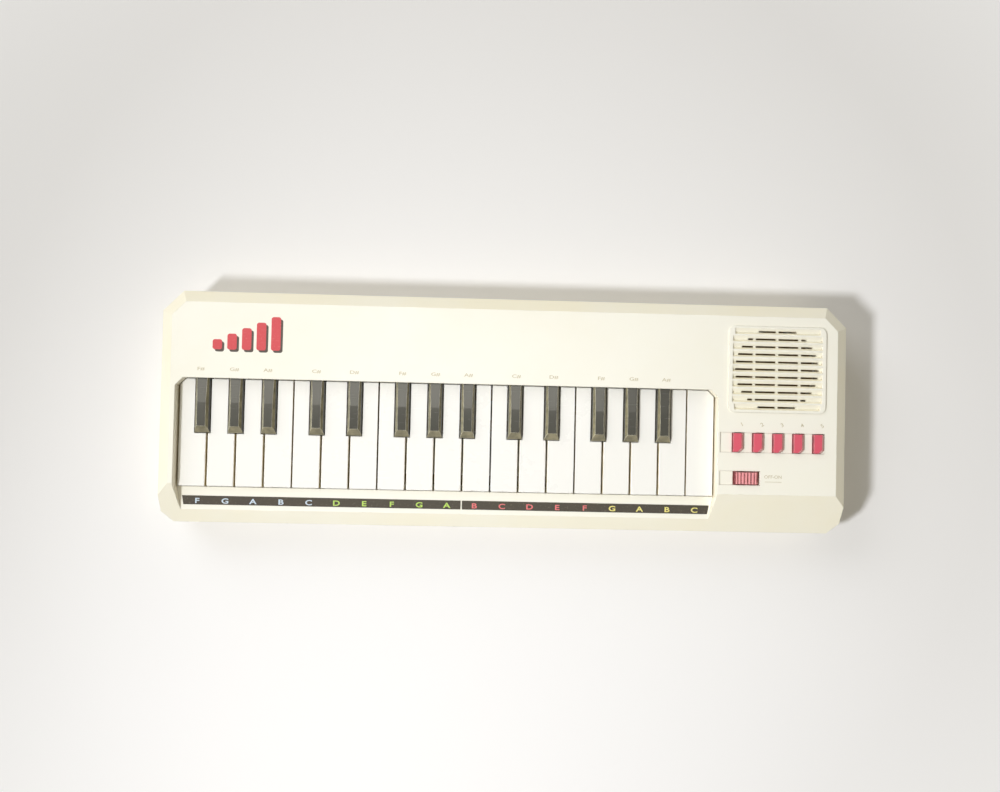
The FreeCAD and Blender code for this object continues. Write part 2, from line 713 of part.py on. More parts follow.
def add_rod_hangers(body):
    """Hangers under the deck that carry the pivot rod between the keys."""
    half = s.hanger_thickness / 2
    plates = [
        rectangle(x - half, x + half, pivot_y - s.hanger_half_depth, pivot_y + s.hanger_half_depth)
        for x in hanger_places()
    ]
    pad_up(body, "rod_hangers", plates, pivot_z - s.hanger_half_depth, panel_under + s.bite)
    start = field_left - s.hanger_thickness
    bore = sketch_on(body, "YZ_Plane", "rod_bores", start)
    draw_circles(bore, [(pivot_y, pivot_z)], s.rod_diameter / 2 + s.running_clearance)
    reach = field_right + s.hanger_thickness - start
    extrude(body, "PartDesign::Pocket", bore, reach, reverse=True)


def louvre_rows():
    """Offsets of the louvres from the middle of the grille."""
    return [s.louvre_pitch * (i - (LOUVRES - 1) / 2) for i in range(LOUVRES)]


def corner_wall(side, inward):
    """Wall behind a cut rear corner of the well; inward is 1 at the left end and -1 at the right."""
    near_y = well_back - s.well_corner_cut
    far_y = well_back + s.wall
    outer = side - inward * s.wall
    inner = side + inward * s.well_corner_cut
    return [(side, near_y), (inner, well_back), (inner, far_y), (outer, far_y), (outer, near_y)]


def slot_rows():
    """Slots of the grille at the foot of the grooves, cut off by a circle."""
    rows = []
    for offset in louvre_rows():
        chord = root(s.slot_radius * s.slot_radius - offset * offset)
        y = speaker_y + offset - s.slot_height / 2
        rows.append(rectangle(speaker_x - chord, speaker_x + chord, y, y + s.slot_height))
    return rows


def cut_louvres(body, name, offsets, length, top):
    """Cuts saw-tooth grooves: a short front slope and a long slope up to the back."""
    teeth = []
    for offset in offsets:
        y = speaker_y + offset - s.slot_height / 2
        teeth.append([(y - s.groove_front, top), (y, top - s.groove_depth), (y + s.groove_height, top)])
    sketch = draw_polygons(sketch_on(body, "YZ_Plane", name, speaker_x - length / 2), teeth)
    extrude(body, "PartDesign::Pocket", sketch, length, reverse=True)


def add_grille(body):
    """Raised field with louvre grooves and slots over the speaker."""
    plateau_top = s.panel_height + s.plateau_rise
    x_low = speaker_x - s.plateau_length / 2
    x_high = speaker_x + s.plateau_length / 2
    y_low = speaker_y - s.plateau_depth / 2
    y_high = speaker_y + s.plateau_depth / 2
    field = rectangle(x_low, x_high, y_low, y_high)
    plateau = pad_up(body, "grille_field", [field], s.panel_height - s.bite, plateau_top)

    def is_corner(edge):
        ends = ends_of(edge)
        if len(ends) != 2 or not near(max(end.z for end in ends), plateau_top):
            return False
        upright = abs(ends[0].x - ends[1].x) < 1e-4 and abs(ends[0].y - ends[1].y) < 1e-4
        return upright and any(near(ends[0].x, x) and near(ends[0].y, y) for x, y in field)

    round_edges(body, plateau, s.plateau_round, is_corner)
    offsets = louvre_rows()
    cut_louvres(body, "louvre_grooves", offsets[1:-1], s.groove_length, plateau_top)
    short_length = s.groove_length - 2 * s.groove_end_cut
    cut_louvres(body, "end_grooves", [offsets[0], offsets[-1]], short_length, plateau_top)
    cut_down(body, "grille_slots", slot_rows(), plateau_top, panel_under - s.bite)
    half_rib = s.grille_rib_width / 2
    ribs = []
    for k in GRILLE_RIBS:
        x = speaker_x + s.grille_rib_pitch * k
        y_low = speaker_y - s.slot_radius
        ribs.append(rectangle(x - half_rib, x + half_rib, y_low, y_low + 2 * s.slot_radius))
    pad_up(body, "grille_ribs", ribs, panel_under, plateau_top - s.groove_depth)


def button_centres():
    return [(button_x + s.button_pitch * (i - (BUTTONS - 1) / 2), button_y) for i in range(BUTTONS)]


def button_outline(x, y, margin):
    """A button from above, with its front right corner cut, moved out by a margin."""
    half_x = s.button_length / 2 + margin
    half_y = s.button_depth / 2 + margin
    cut = s.button_corner_cut
    return [
        (x - half_x, y - half_y), (x + half_x - cut, y - half_y), (x + half_x, y - half_y + cut),
        (x + half_x, y + half_y), (x - half_x, y + half_y),
    ]


def add_control_openings(body):
    """Shallow bands on the panel, and the openings of the buttons and the slide switch in them."""
    half_y = s.button_depth / 2 + s.band_margin
    band_left = well_right + s.band_start
    last_x = button_centres()[-1][0]
    band_right = last_x + s.button_length / 2 + s.band_margin + s.button_fit
    slot_low = switch_y - s.switch_slot_width / 2
    slot_high = switch_y + s.switch_slot_width / 2
    slot_right = slot_left + s.switch_slot_length
    bands = [
        rectangle(band_left, band_right, button_y - half_y, button_y + half_y),
        rectangle(band_left, slot_right + s.button_fit, slot_low, slot_high),
    ]
    cut_down(body, "control_bands", bands, s.panel_height, s.panel_height - s.band_depth)
    openings = [button_outline(x, y, s.button_fit) for x, y in button_centres()]
    openings.append(rectangle(slot_left, slot_right, slot_low, slot_high))
    cut_down(body, "control_openings", openings, s.panel_height, panel_under - s.bite)


def make_bottom_case():
    """Lower shell with screw posts, board ribs, the felt rib and the battery bay."""
    body = new_body("bottom_case")
    pad_up(body, "tray", [case_outline(dim(0))], s.foot_height, s.parting_height)
    cut_down(body, "tray_inside", [case_outline(s.wall)], s.parting_height, floor_top)
    rib_low = field_left + s.rib_inset
    rib_high = field_right - s.rib_inset
    half = s.rib_thickness / 2
    reach = s.key_board_depth / 2 - s.rib_inset
    board_ribs = [
        rectangle(rib_low, rib_high, y - half, y + half) for y in (contact_y - reach, contact_y + reach)
    ]
    pad_up(body, "board_ribs", board_ribs, floor_top - s.bite, key_board_under)
    felt_rib = rectangle(rib_low, rib_high, felt_y - half, felt_y + half)
    pad_up(body, "felt_rib", [felt_rib], floor_top - s.bite, felt_top - s.felt_thickness)
    pad_circles(body, "screw_posts", case_screw_places, s.post_radius, floor_top - s.bite, s.parting_height)

    bay_block = rectangle(bay_left - s.bay_wall, bay_end, bay_front - s.bay_wall, bay_rear + s.bay_wall)
    pad_up(body, "bay_block", [bay_block], floor_top - s.bite, bay_ceiling + s.bay_roof)
    bay_inside = rectangle(bay_left, bay_right, bay_front, bay_rear)
    cut_up(body, "bay_inside", [bay_inside], s.foot_height, bay_ceiling)
    past = rear + s.wall
    groove = s.door_tongue + s.door_gap
    doorway = rectangle(bay_left, bay_right, bay_front, past)
    cut_up(body, "doorway", [doorway], s.foot_height, s.foot_height + s.door_lip)
    grooves = rectangle(bay_left - groove, bay_right + groove, bay_front - groove, past)
    groove_foot = s.foot_height + s.door_lip
    cut_up(body, "door_grooves", [grooves], groove_foot, tongue_foot + s.tongue_thickness + s.slide_clearance)

    hole = s.screw_radius + s.screw_clearance
    seat = s.foot_height + s.screw_seat
    drill_up(body, "screw_wells", case_screw_places, s.post_bore, s.foot_height, seat)
    drill_up(body, "screw_holes", case_screw_places, hole, seat - s.bite, s.parting_height)
    return keep(body, "bottom_case")


def make_battery_door():
    """Door that slides out to the rear on two tongues, with grip ridges underneath."""
    body = new_body("battery_door")
    gap = s.door_gap
    plate = rectangle(bay_left + gap, bay_right - gap, bay_front + gap, rear)
    pad_up(body, "door_plate", [plate], s.foot_height, tongue_foot + s.tongue_thickness)
    reach = s.door_tongue
    tongues = rectangle(bay_left - reach, bay_right + reach, bay_front - reach, rear)
    pad_up(body, "door_tongues", [tongues], tongue_foot, tongue_foot + s.tongue_thickness)
    middle = (bay_left + bay_right) / 2
    ridges = []
    for i in range(DOOR_RIDGES):
        y = rear - s.door_ridge_setback - s.door_ridge_pitch * i
        half = s.door_ridge_length / 2
        ridges.append(rectangle(middle - half, middle + half, y, y + s.door_ridge_width))
    pad_up(body, "door_ridges", ridges, s.foot_height - s.door_ridge_height, s.foot_height + s.bite)
    return keep(body, "battery_door")


# Keys

def black_after(i):
    """Whether a black key follows white key i."""
    return 0 <= i < WHITE_KEYS - 1 and i % 7 in BLACK_LEAN


def black_centre(i):
    return field_left + (i + 1) * s.key_pitch + BLACK_LEAN[i % 7] * s.black_lean


def white_span(i):
    """Sides of white key i at the front, then between the black keys."""
    low = field_left + i * s.key_pitch + s.key_gap / 2
    high = field_left + (i + 1) * s.key_pitch - s.key_gap / 2
    reach = s.black_width / 2 + s.black_gap
    neck_low = black_centre(i - 1) + reach if black_after(i - 1) else low
    neck_high = black_centre(i) - reach if black_after(i) else high
    return low, high, neck_low, neck_high


def white_outline(i):
    """White key i from above: wide front, neck between black keys, narrow arm at the pivot."""
    low, high, neck_low, neck_high = white_span(i)
    points = [(low, key_front), (high, key_front)]
    if black_after(i):
        points += [(high, notch_y), (neck_high, notch_y)]
    points += [
        (neck_high, arm_y), (neck_high - s.arm_inset, arm_y), (neck_high - s.arm_inset, tail_y),
        (neck_low + s.arm_inset, tail_y), (neck_low + s.arm_inset, arm_y), (neck_low, arm_y),
    ]
    if black_after(i - 1):
        points += [(neck_low, notch_y), (low, notch_y)]
    return points


def dip_outline(i):
    """Dip behind the top of white key i; the end keys lose a corner along the cut corners of the well."""
    low, high, neck_low, neck_high = white_span(i)
    side_low = neck_low - s.key_gap
    side_high = neck_high + s.key_gap
    corner = s.well_corner_cut + ROOT_TWO * s.rear_gap
    points = [(side_high, arm_y), (side_low, arm_y)]
    if i == 0:
        points += [(side_low, well_back - corner + side_low - well_left)]
        points += [(well_left + corner - s.rear_gap, top_rear)]
    else:
        points += [(side_low, top_rear)]
    if i == WHITE_KEYS - 1:
        points += [(well_right - corner + s.rear_gap, top_rear)]
        points += [(side_high, well_back - corner + well_right - side_high)]
    else:
        points += [(side_high, top_rear)]
    return points


def add_plunger(body, name, x):
    """Foot of a key that presses its contact dome."""
    half_x = s.plunger_width / 2
    half_y = s.plunger_depth / 2
    foot = rectangle(x - half_x, x + half_x, contact_y - half_y, contact_y + half_y)
    pad_up(body, f"{name}_plunger", [foot], plunger_foot, key_bottom + s.bite)


def bore_pivot(body, name):
    """Bore for the pivot rod."""
    bore = sketch_on(body, "YZ_Plane", f"{name}_bore", 0)
    draw_circles(bore, [(pivot_y, pivot_z)], s.rod_diameter / 2 + s.running_clearance)
    return extrude(body, "PartDesign::Pocket", bore, None, both_ways=True)


def make_white_key(i):
    name = f"white_key_{i + 1:02d}"
    body = new_body(name)
    low, high, neck_low, neck_high = white_span(i)
    pad_up(body, f"{name}_plan", [white_outline(i)], key_bottom, key_top)
    skin = s.key_skin
    half = s.plunger_depth / 2
    hollows = [
        rectangle(low + skin, high - skin, key_front + skin, notch_y - skin),
        rectangle(neck_low + skin, neck_high - skin, notch_y + skin, contact_y - half),
        rectangle(neck_low + skin, neck_high - skin, contact_y + half, hollow_rear - skin),
    ]
    cut_up(body, f"{name}_hollow", hollows, key_bottom, key_top - skin)
    cut_down(body, f"{name}_dip", [dip_outline(i)], key_top, key_top - s.rear_dip)
    add_plunger(body, name, (neck_low + neck_high) / 2)
    bored = bore_pivot(body, name)

    def is_front_edge(edge):
        ends = ends_of(edge)
        on_top = all(near(end.z, key_top) for end in ends)
        at_front = all(near(end.y, key_front) for end in ends)
        before_notch = all(end.y < notch_y.number + 1e-4 for end in ends)
        at_side = all(near(end.x, low) or near(end.x, high) for end in ends)
        corner = at_front and at_side and any(near(end.z, key_top) for end in ends)
        return len(ends) == 2 and (corner or (on_top and at_front) or (on_top and before_notch and at_side))

    round_edges(body, bored, s.edge_round, is_front_edge)
    return keep(body, name)


def make_black_key(i, count):
    name = f"black_key_{count:02d}"
    body = new_body(name)
    x = black_centre(i)
    crest = key_top + s.black_rise
    deck = panel_under - s.black_panel_gap
    foot = key_top + s.black_foot_rise
    flat_start = black_front + s.black_front_run
    profile = [
        (black_front, key_bottom), (black_front, foot), (flat_start, crest),
        (flat_start + s.black_flat, crest), (well_back, deck), (arm_y, deck),
        (arm_y, key_top), (tail_y, key_top), (tail_y, key_bottom),
    ]
    side = draw_polygons(sketch_on(body, "YZ_Plane", f"{name}_side", x), [profile])
    extrude(body, "PartDesign::Pad", side, s.black_width, both_ways=True)

    past = s.black_width
    flanks = []
    for turn in (-1, 1):
        flanks.append([
            (x + turn * s.black_width / 2, foot),
            (x + turn * s.black_shoulder_width / 2, key_top + s.black_shoulder_rise),
            (x + turn * s.black_top_width / 2, crest),
            (x + turn * s.black_top_width / 2, crest + s.wall),
            (x + turn * past, crest + s.wall),
            (x + turn * past, foot),
        ])
    section = draw_polygons(sketch_on(body, "XZ_Plane", f"{name}_flanks", 0), flanks)
    extrude(body, "PartDesign::Pocket", section, None, both_ways=True)

    half_x = s.black_width / 2 - s.key_skin
    half_y = s.plunger_depth / 2
    hollows = [
        rectangle(x - half_x, x + half_x, black_front + s.key_skin, contact_y - half_y),
        rectangle(x - half_x, x + half_x, contact_y + half_y, arm_y - s.key_skin),
    ]
    cut_up(body, f"{name}_hollow", hollows, key_bottom, key_top + s.black_hollow_rise)
    add_plunger(body, name, x)
    bored = bore_pivot(body, name)

    def is_front_edge(edge):
        ends = ends_of(edge)
        ahead = all(end.y < flat_start.number + 1e-4 for end in ends)
        lifted = max(end.z for end in ends) > key_top.number + s.black_shoulder_rise.number + 1e-4
        return len(ends) == 2 and ahead and lifted

    round_edges(body, bored, s.edge_round / 2, is_front_edge)
    return keep(body, name)


def contact_centres():
    """Middle of each key's plunger, white keys first."""
    centres = []
    for i in range(WHITE_KEYS):
        low, high, neck_low, neck_high = white_span(i)
        centres.append(((neck_low + neck_high) / 2, contact_y))
    centres += [(black_centre(i), contact_y) for i in range(WHITE_KEYS) if black_after(i)]
    return centres


def make_key_contacts():
    """Pivot rod, rubber domes, key board and the felt that the keys land on."""
    ends = hanger_places()
    half = s.hanger_thickness / 2 + s.rod_overhang
    rod = new_body("key_pivot_rod")
    section = sketch_on(rod, "YZ_Plane", "rod_section", ends[0] - half)
    draw_circles(section, [(pivot_y, pivot_z)], s.rod_diameter / 2)
    extrude(rod, "PartDesign::Pad", section, ends[-1] - ends[0] + 2 * half)
    keep(rod, "key_pivot_rod")

    x_low = field_left + s.key_board_inset
    x_high = field_right - s.key_board_inset
    rubber = new_body("key_contact_rubber")
    half_y = s.rubber_depth / 2
    sheet_outline = rectangle(x_low, x_high, contact_y - half_y, contact_y + half_y)
    pad_up(rubber, "rubber_sheet", [sheet_outline], key_board_top, key_rubber_top)
    dome_top = key_rubber_top + s.dome_height
    dome_foot = key_rubber_top - s.bite
    pad_circles(rubber, "rubber_domes", contact_centres(), s.dome_radius, dome_foot, dome_top)
    keep(rubber, "key_contact_rubber")

    board_back = key_board_front + s.key_board_depth
    board = box("key_board", x_low, x_high, key_board_front, board_back, key_board_under, key_board_top)
    keep(board, "key_board")
    half_felt = s.felt_depth / 2
    felt = box(
        "key_stop_felt", field_left + s.rib_inset, field_right - s.rib_inset,
        felt_y - half_felt, felt_y + half_felt, felt_top - s.felt_thickness, felt_top,
    )
    keep(felt, "key_stop_felt")


def make_note_label():
    """Black strip in two lengths on the ledge, with ends that follow the lean of the ledge."""
    lean = s.ledge_slant / (well_front - ledge_front)
    y_high = well_front - s.label_setback
    y_low = y_high - s.label_width
    split = field_left + LABEL_SPLIT_KEYS * s.key_pitch
    half = s.label_split / 2

    def left_end(y):
        return well_left + lean * (well_front - y) + s.label_left_margin

    def right_end(y):
        return well_right - lean * (well_front - y) - s.label_right_margin

    lengths = {
        "label_left": [
            (left_end(y_low), y_low), (split - half, y_low),
            (split - half, y_high), (left_end(y_high), y_high),
        ],
        "label_right": [
            (split + half, y_low), (right_end(y_low), y_low),
            (right_end(y_high), y_high), (split + half, y_high),
        ],
    }
    pieces = []
    for name, outline in lengths.items():
        piece = new_body(name)
        pad_up(piece, f"{name}_outline", [outline], ledge_top, ledge_top + s.label_thickness)
        pieces.append(piece)
    group("note_label", pieces)


# Controls

def make_button(number, x, y):
    """Push button bevelled along its right side, with a flange under the panel and a stem to its dome."""
    name = f"button_{number}"
    body = new_body(name)
    top = s.panel_height + s.button_rise
    cap = pad_up(body, f"{name}_cap", [button_outline(x, y, dim(0))], flange_under, top)
    doc.recompute()
    picked = [
        f"Edge{i}" for i, edge in enumerate(cap.Shape.Edges, start=1)
        if all(near(end.z, top) and end.x > x.number for end in ends_of(edge))
        and max(end.x for end in ends_of(edge)) - x.number > s.button_length.number / 2 - 1e-4
        and min(end.y for end in ends_of(edge)) < y.number
    ]
    bevel = body.newObject("PartDesign::Chamfer", f"{name}_bevel")
    bevel.Base = (cap, picked)
    bevel.setExpression("Size", s.button_bevel.text)
    half_x = s.button_length / 2 + s.button_flange
    half_y = s.button_depth / 2 + s.button_flange
    flange = rectangle(x - half_x, x + half_x, y - half_y, y + half_y)
    pad_up(body, f"{name}_flange", [flange], flange_under, flange_top)
    half = s.stem_width / 2
    stem = rectangle(x - half, x + half, y - half, y + half)
    pad_up(body, f"{name}_stem", [stem], button_foot, flange_under + s.bite)
    return keep(body, name)


def make_switch():
    """Ribbed knob on its slider plate, and the slide switch that it moves."""
    knob = new_body("switch_knob")
    knob_right = knob_left + s.knob_length
    half_y = s.knob_width / 2
    top = s.panel_height + s.knob_rise
    cap = rectangle(knob_left, knob_right, switch_y - half_y, switch_y + half_y)
    pad_up(knob, "knob_cap", [cap], flange_under, top)
    reach = s.knob_flange
    plate = rectangle(
        knob_left - reach, knob_right + reach, switch_y - half_y - reach, switch_y + half_y + reach
    )
    pad_up(knob, "slider_plate", [plate], flange_under, flange_top)
    middle = (knob_left + knob_right) / 2
    half_groove = s.knob_groove / 2
    grooves = []
    for i in range(KNOB_GROOVES):
        x = middle + s.knob_groove_pitch * (i - (KNOB_GROOVES - 1) / 2)
        grooves.append(rectangle(
            x - half_groove, x + half_groove, switch_y - half_y - s.bite, switch_y + half_y + s.bite
        ))
    cut_down(knob, "knob_grooves", grooves, top, top - s.knob_groove)
    keep(knob, "switch_knob")

    half_x = s.switch_body_length / 2
    half_y = s.switch_body_width / 2
    body = box(
        "switch_body", middle - half_x, middle + half_x,
        switch_y - half_y, switch_y + half_y, board_top, flange_under - s.flange_gap,
    )
    keep(body, "switch_body")


def make_control_board():
    """Control board with its sound chip and capacitor, and the rubber under the buttons."""
    blank = box("board_blank", board_left, board_right, board_front, board_rear, board_under, board_top)
    middle_x = (board_left + board_right) / 2
    middle_y = (board_front + board_rear) / 2
    chip_x = middle_x - 2 * s.chip_radius
    chip_foot = board_under - s.chip_height
    chip = cylinder("chip", chip_x, middle_y, chip_foot, board_under + s.bite, s.chip_radius)
    can_x = middle_x + 3 * s.capacitor_radius
    can_foot = board_under - s.capacitor_height
    can = cylinder("capacitor", can_x, middle_y, can_foot, board_under + s.bite, s.capacitor_radius)
    board = doc.addObject("Part::Cut", "control_board")
    board.Base = fuse("board_with_parts", [blank, chip, can])
    hole = s.small_screw_radius + s.screw_clearance
    holes = [
        cylinder(f"board_hole_{i}", x, y, board_under - s.bite, board_top + s.bite, hole)
        for i, (x, y) in enumerate(board_screw_places)
    ]
    board.Tool = fuse("board_holes", holes)
    keep(board, "control_board")

    rubber = new_body("button_rubber")
    first_x = button_centres()[0][0]
    last_x = button_centres()[-1][0]
    half_y = s.button_depth / 2
    reach = s.dome_radius + s.bite
    outline = rectangle(first_x - reach, last_x + reach, button_y - half_y, button_y + half_y)
    pad_up(rubber, "button_sheet", [outline], board_top, button_rubber_top)
    dome_foot = button_rubber_top - s.bite
    pad_circles(rubber, "button_domes", button_centres(), s.dome_radius, dome_foot, button_dome_top)
    keep(rubber, "button_rubber")


# Speaker

def turned(label, profile):
    """A body turned about an upright axis through the middle of the speaker."""
    body = new_body(label)
    sketch = draw_polygons(sketch_on(body, "XZ_Plane", f"{label}_profile", 0), [profile])
    made = body.newObject("PartDesign::Revolution", f"{label}_turn")
    made.Profile = sketch
    made.ReferenceAxis = (sketch, ["V_Axis"])
    place(body, speaker_x, speaker_y, rim_under)
    return keep(body, label)


def make_speaker():
    """Basket, magnet and paper cone, measured from the underside of the rim."""
    metal = s.sheet_metal
    mouth = s.speaker_radius - s.rim_width
    plate_top = metal - s.basket_depth
    turned("speaker_basket", [
        (0, -s.basket_depth), (s.back_plate_radius, -s.basket_depth), (mouth + metal, 0),
        (s.speaker_radius, 0), (s.speaker_radius, metal), (mouth, metal), (mouth, 0),
        (s.back_plate_radius - metal, plate_top), (0, plate_top),
    ])
    rim = mouth - s.cone_clearance
    neck = s.cone_neck_radius
    thick = s.cone_thickness
    cap = s.dust_cap_rise - s.cone_neck_depth
    turned("speaker_cone", [
        (0, cap - thick), (neck, -s.cone_neck_depth - thick), (rim, metal - thick),
        (rim, metal), (rim - thick, metal), (neck, -s.cone_neck_depth), (0, cap),
    ])
    magnet_top = rim_under - s.basket_depth
    magnet = cylinder(
        "speaker_magnet", speaker_x, speaker_y, magnet_top - s.magnet_height, magnet_top, s.magnet_radius
    )
    keep(magnet, "speaker_magnet")


# Fasteners, feet and battery contacts

def screw(name, x, y, seat, length, radius, head_radius, head_height):
    """A screw driven up from below: its head hangs under the seat."""
    shank = cylinder(f"{name}_shank", x, y, seat, seat + length, radius)
    head = cylinder(f"{name}_head", x, y, seat - head_height, seat, head_radius)
    return fuse(name, [shank, head])


def make_fasteners():
    seat = s.foot_height + s.screw_seat
    case_screws = [
        screw(f"case_screw_{i}", x, y, seat, s.screw_length, s.screw_radius, s.head_radius, s.head_height)
        for i, (x, y) in enumerate(case_screw_places)
    ]
    group("case_screws", case_screws)
    small = (s.small_screw_length, s.small_screw_radius, s.small_head_radius, s.small_head_height)
    board_screws = [
        screw(f"board_screw_{i}", x, y, board_under, *small) for i, (x, y) in enumerate(board_screw_places)
    ]
    group("board_screws", board_screws)
    clamps = []
    washer_foot = rim_under - s.washer_thickness
    for i, (x, y) in enumerate(speaker_screw_places):
        bolt = screw(f"speaker_bolt_{i}", x, y, washer_foot, *small)
        washer = cylinder(f"speaker_washer_{i}", x, y, washer_foot, rim_under, s.washer_radius)
        clamps.append(fuse(f"speaker_screw_{i}", [bolt, washer]))
    group("speaker_screws", clamps)

    foot_x = right - s.foot_inset
    foot_y = rear - s.foot_setback
    corners = [(x, y) for x in (-foot_x, foot_x) for y in (-foot_y, foot_y)]
    feet = [
        cylinder(f"foot_{i}", x, y, 0, s.foot_height, s.foot_radius) for i, (x, y) in enumerate(corners)
    ]
    group("feet", feet)


def make_battery_contacts():
    """A plate at each end of both rows of cells, with a coned spring on the left ones."""
    middle_y = (bay_front + bay_rear) / 2
    middle_z = (tongue_foot + s.tongue_thickness + bay_ceiling) / 2
    half = s.contact_plate / 2
    pieces = []
    for row, side in enumerate((-1, 1)):
        y = middle_y + side * s.cell_spacing / 2
        z_low = middle_z - half
        z_high = middle_z + half
        plate_end = bay_left + s.contact_sheet
        plate = box(f"spring_plate_{row}", bay_left, plate_end, y - half, y + half, z_low, z_high)
        spring = doc.addObject("Part::Cone", f"spring_{row}")
        spring.setExpression("Radius1", s.contact_spring_radius.text)
        spring.setExpression("Radius2", s.contact_spring_tip.text)
        spring.setExpression("Height", s.contact_spring_height.text)
        place(spring, plate_end, y, middle_z)
        spring.Placement.Rotation = FreeCAD.Rotation(FreeCAD.Vector(0, 1, 0), 90)
        pieces.append(fuse(f"spring_contact_{row}", [plate, spring]))
        far_start = bay_right - s.contact_sheet
        pieces.append(box(f"flat_contact_{row}", far_start, bay_right, y - half, y + half, z_low, z_high))
    group("battery_contacts", pieces)


# Wiring

def wire_tube(points, radius, bend):
    """A round wire along straight runs joined by arcs of one bend radius."""
    corners = [FreeCAD.Vector(*(dim(c).number for c in point)) for point in points]
    edges = []
    start = corners[0]
    for before, corner, after in zip(corners, corners[1:], corners[2:]):
        back = (before - corner).normalize()
        ahead = (after - corner).normalize()
        turn = math.pi - back.getAngle(ahead)
        reach = bend * math.tan(turn / 2)
        arc_start = corner + back * reach
        arc_end = corner + ahead * reach
        inward = (back + ahead).normalize()
        arc_middle = corner + inward * (bend / math.cos(turn / 2) - bend)
        edges.append(Part.makeLine(start, arc_start))
        edges.append(Part.Arc(arc_start, arc_middle, arc_end).toShape())
        start = arc_end
    edges.append(Part.makeLine(start, corners[-1]))
    path = Part.Wire(edges)
    ring = Part.Wire(Part.makeCircle(radius, corners[0], corners[1] - corners[0]))
    return path.makePipeShell([ring], True, True)


def make_leads(label, routes):
    """A pair of wires as one sub-part."""
    radius = s.lead_diameter.number / 2
    tubes = [wire_tube(route, radius, s.lead_bend.number) for route in routes]
    made = doc.addObject("Part::Feature", label)
    made.Shape = Part.makeCompound(tubes)
    return keep(made, label)


def make_wiring():
    """Ribbon between the boards, and the wires of the speaker and the battery bay."""
    ribbon = new_body("ribbon_cable")
    start = field_right - s.ribbon_start
    turn = board_left + s.ribbon_landing
    thick = s.ribbon_thickness
    profile = [
        (start, key_board_top), (turn + thick, key_board_top), (turn + thick, board_under),
        (turn, board_under), (turn, key_board_top + thick), (start, key_board_top + thick),
    ]
    y_low = key_board_front + s.ribbon_inset
    sketch = draw_polygons(sketch_on(ribbon, "XZ_Plane", "ribbon_run", -y_low), [profile])
    extrude(ribbon, "PartDesign::Pad", sketch, s.ribbon_width, reverse=True)
    keep(ribbon, "ribbon_cable")

    rim_y = speaker_y - s.speaker_radius + s.lead_diameter
    low_z = rim_under - s.speaker_lead_drop
    land_y = board_rear - s.speaker_lead_landing
    speaker_routes = []
    battery_routes = []
    for i in range(2):
        offset = s.lead_spacing * i
        x = speaker_x + offset
        speaker_routes.append([
            (x, rim_y, rim_under), (x, rim_y, low_z), (x, land_y, low_z), (x, land_y, board_under)
        ])
        y = bay_front - s.bay_wall + s.lead_spacing + offset
        x = board_left + s.ribbon_landing + s.lead_spacing + offset
        z = s.battery_lead_height
        land = board_rear - s.battery_lead_landing
        battery_routes.append([(bay_end, y, z), (x, y, z), (x, land, z), (x, land, board_under)])
    make_leads("speaker_leads", speaker_routes)
    make_leads("battery_leads", battery_routes)


def check_document():
    """Stops if a feature failed, a shape is empty or broken, or a cut removed nothing."""
    for item in doc.Objects:
        if "Invalid" in item.State or "Error" in item.State:
            raise RuntimeError(f"{item.Name} failed: {item.State}")
        if item.isDerivedFrom("PartDesign::Pocket"):
            before = item.BaseFeature.Shape.Volume
            if item.Shape.Volume > before - 1e-3:
                raise RuntimeError(f"{item.Name} cuts nothing")
    for item in sub_parts:
        if item.Shape.isNull() or not item.Shape.isValid():
            raise RuntimeError(f"{item.Label} has no valid shape")


make_top_case()
make_bottom_case()
make_battery_door()
for white_number in range(WHITE_KEYS):
    make_white_key(white_number)
black_numbers = [i for i in range(WHITE_KEYS) if black_after(i)]
for black_number, white_number in enumerate(black_numbers, start=1):
    make_black_key(white_number, black_number)
make_key_contacts()
make_note_label()
for button_number, (centre_x, centre_y) in enumerate(button_centres(), start=1):
    make_button(button_number, centre_x, centre_y)
make_switch()
make_control_board()
make_speaker()
make_fasteners()
make_battery_contacts()
make_wiring()

doc.recompute()
check_document()
os.makedirs("parts", exist_ok=True)
for item in sub_parts:
    item.Shape.exportStep(f"parts/{item.Label}.step")
print(f"{len(sub_parts)} sub-parts written")
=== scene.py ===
import logging
import math
from dataclasses import dataclass
from enum import Enum
from typing import Iterable, Sequence

import bpy
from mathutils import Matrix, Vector


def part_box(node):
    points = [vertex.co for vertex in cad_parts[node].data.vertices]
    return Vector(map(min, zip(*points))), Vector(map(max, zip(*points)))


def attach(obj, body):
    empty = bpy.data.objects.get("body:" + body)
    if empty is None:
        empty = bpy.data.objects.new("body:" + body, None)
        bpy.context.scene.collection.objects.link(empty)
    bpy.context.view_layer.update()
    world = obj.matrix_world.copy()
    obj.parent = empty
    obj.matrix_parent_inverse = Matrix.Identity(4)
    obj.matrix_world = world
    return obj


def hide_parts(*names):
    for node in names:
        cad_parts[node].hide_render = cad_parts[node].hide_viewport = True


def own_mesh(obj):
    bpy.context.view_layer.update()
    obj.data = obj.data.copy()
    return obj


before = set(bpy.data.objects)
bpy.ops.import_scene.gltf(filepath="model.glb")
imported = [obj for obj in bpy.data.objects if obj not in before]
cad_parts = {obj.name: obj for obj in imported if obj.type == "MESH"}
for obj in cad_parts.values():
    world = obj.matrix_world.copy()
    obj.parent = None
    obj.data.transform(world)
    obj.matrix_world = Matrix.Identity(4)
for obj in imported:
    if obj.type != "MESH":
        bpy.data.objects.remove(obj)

Colour = tuple[float, float, float, float]
Place = tuple[float, float, float]
Span = tuple[float, float]
Socket = bpy.types.NodeSocket
Feed = Socket | float | Colour

LOG = logging.getLogger("toy_keyboard")
MM = 0.001
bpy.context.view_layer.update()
VALUE = "NodeSocketFloat"
VECTOR = "NodeSocketVector"
# Least upward part of the normal of a face that looks up
FACES_UP = 0.9


